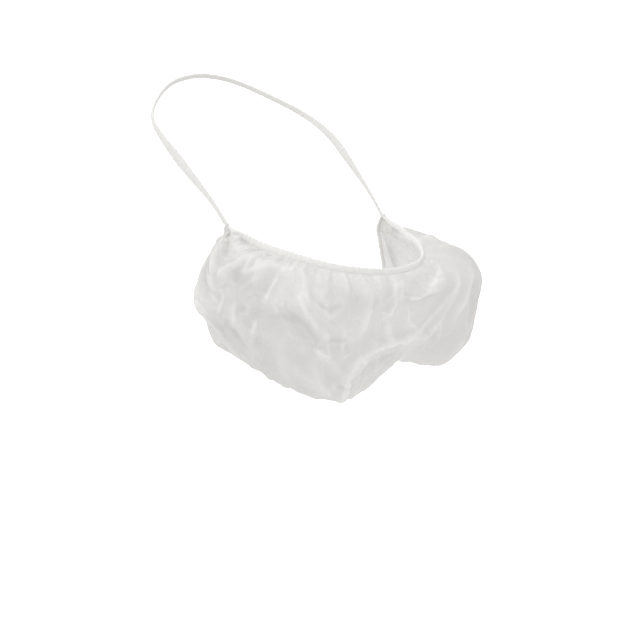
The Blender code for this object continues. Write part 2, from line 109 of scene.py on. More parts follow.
# Folds of the cloth, each a path of points. Station is as in SECTIONS, girth is
# the share from the chin hem to the throat hem, height is outward. Height and
# half width count in TABLE_UNIT.
FOLD_COLUMNS = ("station", "girth", "height", "half_width")
FOLDS = {
    "long crest": (
        (-0.22, 0.68, 3.0, 6.0), (-0.24, 0.53, 3.5, 5.5), (-0.10, 0.40, 4.0, 5.5),
        (0.14, 0.45, 4.0, 5.5), (0.25, 0.48, 5.5, 6.0), (0.30, 0.30, 4.5, 6.0),
        (0.35, 0.18, 2.0, 6.0)),
    "hollow under the crest": ((0.00, 0.48, -3.0, 6.5), (0.12, 0.58, -4.0, 7.5)),
    "lip ruffle": ((0.30, 0.06, 4.0, 5.0), (0.26, 0.16, 4.5, 5.0), (0.10, 0.18, 3.5, 5.0)),
    "hook fold": ((0.00, 0.10, 2.0, 5.0), (-0.02, 0.24, 3.0, 5.5)),
    "chin crease": ((-0.33, 0.40, -2.5, 5.0), (-0.24, 0.38, -2.5, 5.0)),
    "diagonal groove": ((-0.46, 0.29, -2.5, 5.0), (-0.37, 0.40, -3.0, 5.0)),
    "groove lip": ((-0.42, 0.22, 2.5, 5.5), (-0.34, 0.34, 2.5, 5.0)),
    "chin ridge": ((-0.44, 0.07, 2.0, 4.5), (-0.41, 0.20, 2.5, 4.5)),
    "jaw pocket": ((-0.65, 0.23, -3.5, 7.5), (-0.55, 0.24, -4.0, 8.0)),
    "arch over the pocket": (
        (-0.72, 0.27, 3.0, 5.5), (-0.70, 0.14, 3.5, 5.5), (-0.57, 0.12, 2.5, 5.5)),
    "side fold": ((-0.80, 0.44, 3.5, 5.5), (-0.72, 0.56, 3.5, 5.5)),
    "dark strip": ((-0.84, 0.52, -2.5, 6.0), (-0.77, 0.62, -2.5, 6.0)),
    "belly streak": ((-0.64, 0.38, 2.5, 5.0), (-0.56, 0.50, 3.0, 5.5)),
    "wing fold": ((0.52, 0.10, 3.0, 6.0), (0.62, 0.36, 3.0, 6.5)),
    "wing groove": ((0.45, 0.30, -3.0, 7.0), (0.52, 0.52, -3.0, 7.0)),
    "wing belly": ((0.68, 0.50, 3.0, 6.5), (0.55, 0.66, 2.5, 6.5)),
}

# Finer creases of the cloth, as in FOLDS
FINE_FOLDS = {
    "hem crease": ((-0.16, 0.03, -1.2, 2.2), (-0.13, 0.07, -0.8, 2.2)),
    "second hem crease": ((0.00, 0.03, -1.2, 2.2), (0.03, 0.08, -0.8, 2.2)),
    "chin smile": ((-0.35, 0.22, -1.0, 2.0), (-0.32, 0.24, -1.2, 2.0), (-0.28, 0.20, -1.0, 2.0)),
    "short bright fold": ((-0.52, 0.14, 1.0, 1.8), (-0.53, 0.28, 1.2, 1.8)),
    "upright streak": ((-0.69, 0.38, 1.0, 1.6), (-0.69, 0.47, 0.8, 1.6)),
    "second upright streak": ((-0.64, 0.36, 1.0, 1.6), (-0.64, 0.44, 0.8, 1.6)),
    "third upright streak": ((-0.56, 0.39, 1.0, 1.6), (-0.57, 0.47, 1.0, 1.8)),
    "lower arch": ((-0.66, 0.18, 1.2, 2.0), (-0.57, 0.10, 1.2, 2.0), (-0.49, 0.08, 0.8, 2.0)),
    "hook": ((0.00, 0.18, 1.2, 1.8), (-0.03, 0.23, 1.2, 1.8), (-0.06, 0.23, 1.0, 1.8)),
    "knot": ((0.10, 0.45, 1.6, 2.0), (0.12, 0.47, 1.4, 2.0)),
}

# Painted shade (below 0) and painted light on the bag's cloth: darker in its hollows, over the jaw
# pocket, on the wing and over the chin, brighter on its crests, under the ear and along the chin
# hem's seam, as in FOLDS but with a share of the full painted shade or light for the height
PAINTED_LIGHT_AND_SHADE = {
    "painted shade over the jaw pocket": ((-0.62, 0.24, -0.7, 8.0), (-0.54, 0.20, -0.7, 7.5)),
    "painted light under the ear": ((-0.90, 0.16, 0.45, 8.0), (-0.76, 0.14, 0.3, 7.0)),
    "painted light along the chin hem": (
        (-0.97, 0.00, 0.7, 4.8), (0.30, 0.00, 0.7, 4.8), (0.97, 0.00, 0.4, 3.5)),
    "long crest": (
        (-0.23, 0.68, 0.7, 1.8), (-0.24, 0.54, 0.9, 1.8), (-0.19, 0.45, 0.9, 2.0),
        (-0.10, 0.42, 0.8, 2.0), (0.00, 0.42, 0.8, 2.0), (0.14, 0.45, 1.0, 2.2),
        (0.22, 0.43, 1.0, 2.0), (0.26, 0.34, 0.8, 2.0), (0.29, 0.27, 0.7, 2.0),
        (0.36, 0.19, 0.4, 2.0)),
    "shade under the crest": ((-0.10, 0.50, -0.35, 4.0), (0.10, 0.54, -0.35, 4.0)),
    "ruffle rim": (
        (0.33, 0.02, 0.7, 1.8), (0.34, 0.09, 0.9, 1.8), (0.23, 0.13, 0.8, 1.8),
        (0.13, 0.18, 0.8, 1.8), (0.04, 0.16, 0.5, 1.6)),
    "ruffle hollow": ((0.10, 0.09, -0.35, 3.5), (0.20, 0.08, -0.35, 3.5)),
    "hook fold": ((-0.02, 0.11, 0.5, 1.4), (0.00, 0.20, 0.7, 1.4), (-0.05, 0.27, 0.6, 1.4)),
    "chin smile": ((-0.36, 0.21, -0.6, 1.4), (-0.32, 0.22, -0.7, 1.4), (-0.28, 0.19, -0.6, 1.4)),
    "chin crease": ((-0.32, 0.36, -0.9, 1.6), (-0.25, 0.35, -0.9, 1.6)),
    "diagonal groove": (
        (-0.45, 0.28, -0.5, 1.8), (-0.40, 0.32, -0.6, 1.8), (-0.36, 0.37, -0.6, 1.8)),
    "groove lip": ((-0.43, 0.21, 0.6, 1.6), (-0.37, 0.31, 0.8, 1.6)),
    "chin ridge": ((-0.43, 0.10, 0.6, 1.4), (-0.40, 0.21, 0.6, 1.4)),
    "short bright fold": ((-0.52, 0.16, 0.8, 1.2), (-0.53, 0.25, 0.8, 1.2)),
    "arch over the pocket": (
        (-0.74, 0.27, 0.6, 1.8), (-0.74, 0.14, 0.8, 2.0), (-0.70, 0.10, 0.6, 1.8)),
    "lower arch": ((-0.66, 0.18, 0.7, 1.6), (-0.56, 0.11, 0.7, 1.6), (-0.48, 0.09, 0.5, 1.6)),
    "side fold": ((-0.80, 0.45, 0.7, 1.6), (-0.74, 0.50, 0.7, 1.6), (-0.64, 0.58, 0.5, 1.6)),
    "upright streak": ((-0.69, 0.33, 0.9, 1.1), (-0.69, 0.40, 0.9, 1.1)),
    "second upright streak": ((-0.64, 0.33, 0.8, 1.1), (-0.63, 0.40, 0.8, 1.1)),
    "third upright streak": ((-0.56, 0.37, 0.9, 1.1), (-0.57, 0.42, 0.9, 1.1)),
    "painted shade on the wing": ((0.32, 0.62, -0.25, 14.0), (0.60, 0.40, -0.4, 26.0)),
    "painted shade on the chin": ((-0.30, 0.14, -0.4, 10.0), (-0.12, 0.18, -0.4, 9.0)),
}
BROAD_EVENINGS, SHARP_EVENINGS = 14, 2  # how often the cloth is evened out to find its folds
BROAD_FOLD, SHARP_FOLD = 0.0009, 0.00022  # lift over the evened cloth that is a full fold
DRAWN_FOLD, FINE_FOLD = 0.004, 0.002  # height of a full fold in FOLDS and in FINE_FOLDS
BROAD_TONE, SHARP_TONE, DRAWN_TONE = 0.14, 0.16, 0.14  # share of the full painted highlight or shade of each
WRINKLE_TONE = 0.0018  # height of a wrinkle with the full painted highlight or shade

# Gathers along both hems: how many from ear to ear, their height, how far they
# reach into the bag, how fast they rise at the hem and how round they are
GATHER_COLUMNS = ("count", "height", "fade", "rise", "roundness", "start", "drift")
GATHERS = (
    (20, 0.0016, 0.022, 0.0010, 1.0, 0.0, 1.0),
    (47, 0.0007, 0.012, 0.0012, 0.8, 1.3, 2.1),
    (83, 0.0004, 0.007, 0.0015, 0.7, 2.9, 3.7),
)
GATHER_DRIFT = ((0.9, 5.3, 0.6), (0.5, 11.7, 2.0), (0.35, 23.0, 1.1))  # size, turns, start
PLEAT_COLUMNS = ("count", "height", "fade", "start", "bend")
EAR_PLEATS = (
    (6, 0.0024, 0.034, 1.5, 0.4),
    (13, 0.0009, 0.022, 0.7, 0.8),
    (23, 0.0004, 0.014, 2.2, 1.1),
)
EAR_PLEAT_FADE = 0.034  # how far from an ear the folds reach their full height
FOLD_START = 0.0015  # how far from a hem the folds start
FOLD_RISE = 0.004  # over which they reach their full height

# Short wrinkles of the crumpled cloth, strewn by the seed: how many, their length,
# half width and height, and how much they bend
WRINKLE_COLUMNS = ("count", "length", "half_width", "height", "bend")
WRINKLES = (
    (260, 0.010, 0.0008, 0.00055, 30.0),
    (110, 0.017, 0.0015, 0.00095, 14.0),
    (30, 0.032, 0.0030, 0.00150, 7.0),
)
WRINKLE_SEED = 5
WRINKLE_STATIONS = (-0.97, 0.97)
WRINKLE_GIRTHS = (0.04, 0.96)
WRINKLE_LENGTHS = (0.6, 1.4)  # least and most, as shares of the table's length
WRINKLE_HEIGHTS = (0.4, 1.2)
WRINKLE_SIGNS = (1, 1, 1, -0.8)  # three in four stand outward
WRINKLE_TURN = 0.35  # spread of their turn at a hem, from straight down
WRINKLE_MORE_TURN = 0.9  # what it gains towards the bag's middle
WRINKLE_BACK = 1.8  # how much wider a wrinkle's far side is than its near side

# Cloth at work
LOOSENESS = (  # station, and how loose the cloth is there
    (-1.0, 1.0), (-0.5, 0.9), (0.0, 0.75), (0.2, 0.5), (0.4, 0.2), (0.8, 0.2), (0.92, 0.5),
    (1.0, 0.8))
SPARE_FADE = 0.018  # how far from hems and ears the spare cloth reaches
MIDDLE_SPARE = 0.7  # share of the hems' spare cloth that the middle has
AT_EDGE = 1e-9  # nearer than this to a hem or an ear, a point is held fast
CLOTH_SETTINGS = {
    "mass": 0.05, "pin_stiffness": 1.0, "tension_stiffness": 15.0, "tension_damping": 15.0,
    "compression_stiffness": 15.0, "compression_damping": 15.0, "shear_stiffness": 5.0,
    "shear_damping": 5.0, "air_damping": 5.0, "shrink_min": 0.0,
}

# Nonwoven finish. Stops are places on a ramp and their greys, and a thin line's
# stops start at its middle.
SWIRL_SCALE, SWIRL_REACH = 90.0, 0.010
FIBRE_TURNS = (0.4, 1.5, 2.6)
FIBRE_SCALE = 2600.0
FIBRE_LENGTH = 0.06
FIBRE_STOPS = ((0.0, 1.0), (0.06, 0.25), (0.16, 0.0))
BOND_PITCH = 0.0013
BOND_TURN = 0.785
BOND_STOPS = ((0.228, 1.0), (0.38, 0.0))
CLOUD_SCALE = 110.0
CLOUD_SHARE, FIBRE_SHARE, BOND_SHARE = 0.55, 0.25, 0.20  # of the cloth's density
DENSITY_STOPS = ((0.25, 0.0), (0.75, 1.0))
MEAN_DENSITY = 0.45
CREASE_STOPS = ((0.0, 1.0), (0.10, 0.35), (0.30, 0.0))
HAIRLINE_SCALE = 85.0
HAIRLINE_STOPS = ((0.0, 1.0), (0.030, 0.0))
HAIRLINE_PATCHES = ((0.50, 0.0), (0.60, 1.0))
HAIRLINE_SETS = (  # turn and stretch of the two sets of hairline creases
    ((0.3, 0.2, 0.9), (1.0, 0.30, 0.45)), ((0.9, 0.5, -0.6), (0.35, 1.2, 0.50)))
FULL_RANGE = ((0.0, 0.0), (1.0, 1.0))
MATT_CLOTH = {
    "Roughness": 0.72, "Specular IOR Level": 0.25, "Sheen Weight": 0.18, "Sheen Roughness": 0.5,
}
# The crest and valley values make the bag's colour brighter on its crests and darker in its
# valleys: painted highlight and painted shade
BAG_LOOK = {
    "crumple_scale": 75.0, "thin_shade": 0.965, "fibre_height": 0.00004, "bond_height": 0.00005,
    "crease_height": 0.0003, "alpha": 0.95, "alpha_swing": 0.16, "glow": (0.90, 0.89, 0.88),
    "through": 0.35, "crest_painted_highlight": 1.24, "valley_painted_shade": 0.76, "hairline": 0.5,
    "hairline_height": 0.00015,
}
HEM_LOOK = dict(BAG_LOOK, crumple_scale=220.0, crease_height=0.0001, alpha=1.0, alpha_swing=0.0,
                glow=(0.97, 0.96, 0.94), through=0.06, hairline=0.0)
STRAP_LOOK = dict(HEM_LOOK, crumple_scale=260.0)
GATHER_LOOK = dict(HEM_LOOK, through=0.30)

# The gathered sleeves of the hems and the strap
SLEEVE_INPUTS = (
    ("Half thickness", "NodeSocketFloat"),
    ("Gather depth", "NodeSocketFloat"),
    ("Gathers per metre", "NodeSocketFloat"),
    ("Unevenness", "NodeSocketFloat"),
    ("Sway", "NodeSocketFloat"),
    ("Sides", "NodeSocketInt"),
    ("Seed", "NodeSocketFloat"),
    ("Cloth", "NodeSocketMaterial"),
)
RING_RADIUS = 0.001
DRIFT_SCALE, DRIFT_SIZE = 160.0, 9.0  # how the gathers' spacing wanders along a sleeve
SIDE_SCALE, SIDE_STRETCH = 420.0, 1.1  # unevenness along a sleeve and round it
GATHER_SLANT = 1.4
RIDGE_MIDDLE = 0.4  # height of a ridge that leaves the sleeve its own width
FLAT_SWELL, EDGE_SWELL, THIN_SWELL = 0.35, 0.65, 1.5  # how far the gathers swell each part
WEAVE_STRETCH = 3.0
HEM_SLEEVE = {
    "Gather depth": 0.24, "Gathers per metre": 330.0, "Unevenness": 0.25, "Sway": 0.0004,
    "Sides": 24,
}
STRAP_SLEEVE = {
    "Gather depth": 0.16, "Gathers per metre": 300.0, "Unevenness": 0.22, "Sway": 0.0003,
    "Sides": 20,
}
HEM_SEEDS = {"chin": 0.0, "throat": 17.0}
STRAP_SEED = 41.0

# The hems' course
HEM_BAND = 0.0011  # how far the hem's sleeve lies over the cloth
HEM_WIDTHS = (  # place from the right ear (-1) to the left (1), and share of the hem's size
    (-1.0, 0.4), (-0.96, 0.6), (-0.9, 1.1), (-0.75, 1.25), (-0.5, 1.1), (-0.2, 0.95),
    (0.1, 0.8), (0.5, 0.8), (0.9, 0.8), (0.96, 0.5), (1.0, 0.4))
HEM_STATIONS = 401
HEM_BEND_FROM = 4  # stations before the ear that give the bend's direction
HEM_BEND_LEAD = 0.004  # how far straight on the point lies that draws the bend
HEM_BEND_POINTS = 25
HEM_PAST_TIP = 0.002  # how far a hem runs on into the strap

# The strap from the right ear (-1) to the back of the head (0). Side is a share
# of HEAD_HALF_WIDTH, back of EAR_FORWARD, rise of EAR_BELOW. Half width counts
# in TABLE_UNIT.
STRAP_COLUMNS = ("station", "side", "back", "rise", "half_width")
STRAP = (
    (-1.00, 0.92, 0.00, 0.00, 1.4),
    (-0.86, 0.94, 0.14, 0.18, 1.8),
    (-0.76, 0.96, 0.27, 0.31, 2.9),
    (-0.66, 0.98, 0.40, 0.44, 3.6),
    (-0.52, 0.98, 0.55, 0.58, 2.6),
    (-0.36, 0.90, 0.72, 0.71, 1.9),
    (-0.22, 0.68, 0.86, 0.83, 1.7),
    (-0.10, 0.36, 0.97, 0.95, 1.7),
    (0.00, 0.00, 1.00, 1.00, 1.7),
)
STRAP_STATIONS = 200
STRAP_EVENINGS = 80  # how often the strap's path is evened out
STRAP_LEAN = 0.3  # how little the strap's flat side follows the slope of the loop
STRAP_OFF_HEAD = 1.1  # the strap's middle off the head, in half thicknesses

# The fans of pleats at the ears
FAN_COLUMNS, FAN_RINGS = 121, 41
FAN_BACK = 0.98  # station that gives the direction in which a fan leaves the bag
FAN_EASE = 0.003  # how far the fan first follows the bag
FAN_PAST_TIP = 0.0015
FAN_TIP_BULGE, FAN_TIP_HALF_HEIGHT = 0.0008, 0.0014
FAN_DRIFT, FAN_DRIFT_TURNS = 1.2, 5
FAN_FADE = 0.6  # share of their height that the pleats lose towards the tip
FAN_FLAT = (0.012, 0.02)  # the fan's cloth laid flat
FAN_WALL = 0.0005

# The view: the middle of the head stands to the left of and above the middle of
# the picture, by these pixels
HEAD_CENTRE = (0.0, -0.082, -0.0365)
VIEW_SHIFT = (42, 190)
PIXEL = 0.00068  # metres per pixel at the middle of the head
PICTURE = 640
FAR_CLIP = 100.0
FLOOR_RADII = (0.5, 1.5, 3.0)
FLOOR_SIDES = 64
BACKDROP_RADIUS = 2.0  # of the bend with which the floor turns up into a backdrop
BACKDROP_RINGS = 12
BACKDROP_START = 0.1  # angle of its first ring
PAPER_GRAIN, PAPER_SHADE = 60.0, 0.985
FLOOR_GLOW = 0.55
SKY_STRENGTH = 0.87
# Lamp, power, size, and its place to the right of, above and in front of the head
LAMPS = (
    ("key", 0.0, 1.6, -1.3, 1.5, 1.3),
    ("fill", 0.0, 1.6, 1.8, 0.6, 0.9),
    ("top", 6.0, 1.2, -0.2, 2.0, -0.3),
)


def smooth_value(stations, values, where):
    """Value at any station, on a smooth curve through the given ones."""
    last = len(stations) - 1
    k = min(max(sum(1 for s in stations if s <= where) - 1, 0), last - 1)
    width = stations[k + 1] - stations[k]
    t = (where - stations[k]) / width
    slopes = []
    for at in (k, k + 1):
        before = max(at - 1, 0)
        after = min(at + 1, last)
        rise = values[after] - values[before]
        slopes.append(rise / (stations[after] - stations[before]) * width)
    return (
        (2 * t**3 - 3 * t**2 + 1) * values[k]
        + (t**3 - 2 * t**2 + t) * slopes[0]
        + (3 * t**2 - 2 * t**3) * values[k + 1]
        + (t**3 - t**2) * slopes[1]
    )


def table_at(columns, rows, where):
    """The row of a table at any station."""
    stations = [row[0] for row in rows]
    return {
        name: smooth_value(stations, [row[column] for row in rows], where)
        for column, name in enumerate(columns)
    }


def curve_through(points, steps):
    """A smooth curve through points that doesn't loop where two are close."""
    points = np.array(points)
    gaps = np.sqrt(np.linalg.norm(np.diff(points, axis=0), axis=1))
    stations = np.concatenate([[0.0], np.cumsum(gaps)])
    count = steps * (len(points) - 1) + 1
    wanted = np.linspace(0.0, stations[-1], count)
    return np.array([smooth_value(stations, points, where) for where in wanted])


def distances(points):
    """How far along a curve each of its points lies."""
    steps = np.linalg.norm(np.diff(points, axis=0), axis=1)
    return np.concatenate([[0.0], np.cumsum(steps)])


def vectors_at(wanted, along, vectors):
    """Vectors at any distances along a curve."""
    return np.array([np.interp(wanted, along, vectors[:, axis]) for axis in range(3)]).T


def spaced(points, count):
    """Points at even distances along a curve."""
    along = distances(points)
    return vectors_at(np.linspace(0.0, along[-1], count), along, points)


def bent(start, bend, end, share):
    """Points on a bend that leaves its start towards a point and ends elsewhere."""
    return (1 - share) ** 2 * start + 2 * share * (1 - share) * bend + share**2 * end


def ear_point(side):
    """Middle of an ear gather."""
    return np.array([side * EAR_HALF_WIDTH, -EAR_FORWARD, -EAR_BELOW])


def strap_way(side):
    """Direction in which the strap leaves an ear gather."""
    first, second = STRAP[0], STRAP[1]
    way = np.array([
        side * (second[1] - first[1]) * HEAD_HALF_WIDTH,
        (second[2] - first[2]) * EAR_FORWARD,
        (second[3] - first[3]) * EAR_BELOW,
    ])
    return way / np.linalg.norm(way)


def hem_point(row, hem):
    """Middle of the chin or throat hem at a row of the section table."""
    return np.array([
        row[hem + "_side"] * EAR_HALF_WIDTH,
        -EAR_FORWARD - row[hem + "_front"] * CHIN_DEPTH,
        -EAR_BELOW - row[hem + "_drop"] * BAG_DROP,
    ])


def hem_way(station, hem):
    """Direction of a hem at a station, from the right ear to the left."""
    before = table_at(SECTION_COLUMNS, SECTIONS, max(station - STATION_STEP, -1.0))
    after = table_at(SECTION_COLUMNS, SECTIONS, min(station + STATION_STEP, 1.0))
    way = hem_point(after, hem) - hem_point(before, hem)
    return way / np.linalg.norm(way)


def beside(point, towards, way, distance):
    """A point at a distance from a hem, square to it, on the side towards a point."""
    side = towards - point
    side = side - way * side.dot(way)
    return point + side / np.linalg.norm(side) * distance


def section(station):
    """The middle of the cloth from the chin hem to the throat hem."""
    row = table_at(SECTION_COLUMNS, SECTIONS, station)
    turn = math.radians(row["turn"])
    outward = np.array([math.sin(turn), -math.cos(turn), 0.0])
    chin = hem_point(row, "chin")
    throat = hem_point(row, "throat")
    heights = {
        "shoulder": chin[2] - row["shoulder_drop"] * BAG_DROP - HEM_SEAM,
        "wide": -EAR_BELOW - row["wide_drop"] * BAG_DROP,
        "base": -EAR_BELOW - row["base_drop"] * BAG_DROP,
        "throat": throat[2],
    }
    points = [beside(chin, chin - UP, hem_way(station, "chin"), HEM_SEAM)]
    for values in PROFILE:
        share = dict(zip(PROFILE_COLUMNS, values))
        plan = chin * (1 - share["plan"]) + throat * share["plan"]
        out = share["reach"] * row["reach"] + share["base_reach"] * row["base_reach"]
        point = plan + outward * out * SIDE_REACH
        point[2] = sum(share[name] * height for name, height in heights.items())
        points.append(point)
    below = throat + outward - UP * (1 - abs(station))
    points.append(beside(throat, below, hem_way(station, "throat"), HEM_SEAM))
    return curve_through(points, CURVE_STEPS)


def fold_height(folds, station, girth):
    """How far a table of folds lifts the cloth at each place."""
    lift = np.zeros_like(station)
    across = station * BAG_SPAN / 2
    down = girth * BAG_GIRTH
    for rows in folds.values():
        path = [dict(zip(FOLD_COLUMNS, row)) for row in rows]
        strongest = np.zeros_like(station)
        for start, end in zip(path[:-1], path[1:]):
            x0 = start["station"] * BAG_SPAN / 2
            y0 = start["girth"] * BAG_GIRTH
            dx = end["station"] * BAG_SPAN / 2 - x0
            dy = end["girth"] * BAG_GIRTH - y0
            t = np.clip(((across - x0) * dx + (down - y0) * dy) / (dx * dx + dy * dy), 0, 1)
            away = np.hypot(across - x0 - t * dx, down - y0 - t * dy)
            height = start["height"] + t * (end["height"] - start["height"])
            half_width = start["half_width"] + t * (end["half_width"] - start["half_width"])
            here = height * TABLE_UNIT * np.exp(-((away / (half_width * TABLE_UNIT)) ** 2))
            strongest = np.where(np.abs(here) > np.abs(strongest), here, strongest)
        lift += strongest
    return lift


def looseness_at(station):
    """How loose the cloth is at each place."""
    return np.interp(station, *zip(*LOOSENESS))


def from_hems(girth):
    """Share of its full height that a fold has, less and less towards the hems."""
    away = np.minimum(girth, 1 - girth) * BAG_GIRTH
    return np.clip((away - FOLD_START) / FOLD_RISE, 0, 1)


def gather_height(station, girth):
    """Gathers along both hems and pleats that run into the ears."""
    across = station * BAG_SPAN / 2
    down = girth * BAG_GIRTH
    ear = BAG_SPAN / 2 - np.abs(across)
    lift = np.zeros_like(station)
    for row in GATHERS:
        kind = dict(zip(GATHER_COLUMNS, row))
        drift = sum(size * np.sin(turns * station + kind["start"] + start)
                    for size, turns, start in GATHER_DRIFT)
        wave = np.sin(math.pi * kind["count"] * station + drift * kind["drift"])
        wave = np.sign(wave) * np.abs(wave) ** kind["roundness"]
        near_hems = sum(np.exp(-away / kind["fade"]) * np.clip(away / kind["rise"], 0, 1)
                        for away in (down, BAG_GIRTH - down))
        lift += kind["height"] * wave * near_hems * np.clip(ear / EAR_PLEAT_FADE, 0, 1)
    edge = from_hems(girth)
    for row in EAR_PLEATS:
        kind = dict(zip(PLEAT_COLUMNS, row))
        bend = kind["bend"] * np.sin(kind["count"] * girth + ear / kind["fade"])
        fan = np.sin(2 * math.pi * kind["count"] * girth + kind["start"] * np.sign(station) + bend)
        size = ear / kind["fade"] * np.exp(1 - ear / kind["fade"])
        lift += kind["height"] * fan * size * edge
    return lift * looseness_at(station)


def wrinkle_height(station, girth):
    """Short wrinkles, most of them where the cloth is loose."""
    across = station * BAG_SPAN / 2
    down = girth * BAG_GIRTH
    chance = np.random.default_rng(WRINKLE_SEED)
    lift = np.zeros_like(station)
    for row in WRINKLES:
        kind = dict(zip(WRINKLE_COLUMNS, row))
        for _ in range(kind["count"]):
            start = chance.uniform(*WRINKLE_STATIONS)
            while chance.random() > looseness_at(start):
                start = chance.uniform(*WRINKLE_STATIONS)
            depth = chance.uniform(*WRINKLE_GIRTHS) * BAG_GIRTH
            inside = min(min(depth, BAG_GIRTH - depth) / (BAG_GIRTH / 3), 1.0)
            turn = math.pi / 2 + chance.normal(0.0, WRINKLE_TURN + WRINKLE_MORE_TURN * inside)
            length = kind["length"] * chance.uniform(*WRINKLE_LENGTHS)
            bend = chance.normal(0.0, kind["bend"])
            height = kind["height"] * chance.uniform(*WRINKLE_HEIGHTS)
            height = height * chance.choice(WRINKLE_SIGNS)
            dx, dy = across - start * BAG_SPAN / 2, down - depth
            near = (np.abs(dx) < length) & (np.abs(dy) < length)
            dx, dy = dx[near], dy[near]
            run = dx * math.cos(turn) + dy * math.sin(turn)
            off = dy * math.cos(turn) - dx * math.sin(turn) - bend * run**2
            width = kind["half_width"] * np.where(off > 0, WRINKLE_BACK, 1.0)
            lift[near] += height * np.exp(-((off / width) ** 2) - (2 * run / length) ** 4)
    return lift


def finer(values):
    """A grid with one more point between each two, on cubic curves through four."""
    for axis in (0, 1):
        rows = np.moveaxis(values, axis, 0)
        wide = np.concatenate([2 * rows[:1] - rows[1:2], rows, 2 * rows[-1:] - rows[-2:-1]])
        between = (9 * (wide[1:-2] + wide[2:-1]) - wide[:-3] - wide[3:]) / 16
        both = np.empty((2 * len(rows) - 1,) + rows.shape[1:])
        both[::2], both[1::2] = rows, between
        values = np.moveaxis(both, 0, axis)
    return values


def grid_normals(points):
    """Outward direction at every point of a grid of points."""
    normals = np.cross(np.gradient(points, axis=1), np.gradient(points, axis=0))
    return normals / np.linalg.norm(normals, axis=2)[:, :, None]


def softened(values, times):
    """A grid of values, each evened out with its neighbours."""
    for _ in range(times):
        wide = np.pad(values, ((1, 1), (1, 1)) + ((0, 0),) * (values.ndim - 2), "edge")
        values = (wide[:-2, 1:-1] + wide[2:, 1:-1] + wide[1:-1, :-2] + wide[1:-1, 2:]
                  + 4 * values) / 8
    return values


def fold_of(points, station, girth):
    """How sharply the cloth is folded: above 0 on a crest, which is painted brighter, and below 0
    in a valley, which is painted darker.
    """
    outward = grid_normals(points)
    tones = fold_height(FOLDS, station, girth) / DRAWN_FOLD * DRAWN_TONE
    tones += fold_height(FINE_FOLDS, station, girth) / FINE_FOLD * DRAWN_TONE
    for times, full, tone in ((SHARP_EVENINGS, SHARP_FOLD, SHARP_TONE),
                              (BROAD_EVENINGS, BROAD_FOLD, BROAD_TONE)):
        lift = ((points - softened(points, times)) * outward).sum(axis=2)
        tones += np.clip(lift / full, -1, 1) * tone
    return tones


def bag_grid(columns, rows):
    """The bag's cloth as a grid with its folds, and its stations and girths."""
    stations = np.linspace(-1, 1, columns)
    plain = np.array([spaced(section(station), rows) for station in stations])
    station, girth = np.meshgrid(stations, np.linspace(0, 1, rows), indexing="ij")
    lift = fold_height(FOLDS, station, girth) + fold_height(FINE_FOLDS, station, girth)
    lift = lift + gather_height(station, girth)
    ends = np.clip((1 - np.abs(station)) * BAG_SPAN / 2 / EAR_PLEAT_FADE, 0, 1)
    lift = lift * from_hems(girth) * ends
    return plain + grid_normals(plain) * lift[:, :, None], station, girth


def sign(operation, turned=False):
    """What a sign of Python's does to a socket: it adds a Math node."""
    def worked_out(self, other):
        return self.nodes.maths(operation, *((other, self) if turned else (self, other)))
    return worked_out


class Value:
    """A socket that Python's signs can add, take away and multiply."""

    def __init__(self, nodes, socket):
        self.nodes = nodes
        self.socket = socket

    __add__, __radd__ = sign("ADD"), sign("ADD", turned=True)
    __sub__, __rsub__ = sign("SUBTRACT"), sign("SUBTRACT", turned=True)
    __mul__, __rmul__ = sign("MULTIPLY"), sign("MULTIPLY", turned=True)
    at_most, at_least = sign("MINIMUM"), sign("MAXIMUM")

    def __neg__(self):
        return 0.0 - self

    def __abs__(self):
        return self.nodes.maths("ABSOLUTE", self)

    def sine(self):
        return self.nodes.maths("SINE", self)

    def cosine(self):
        return self.nodes.maths("COSINE", self)


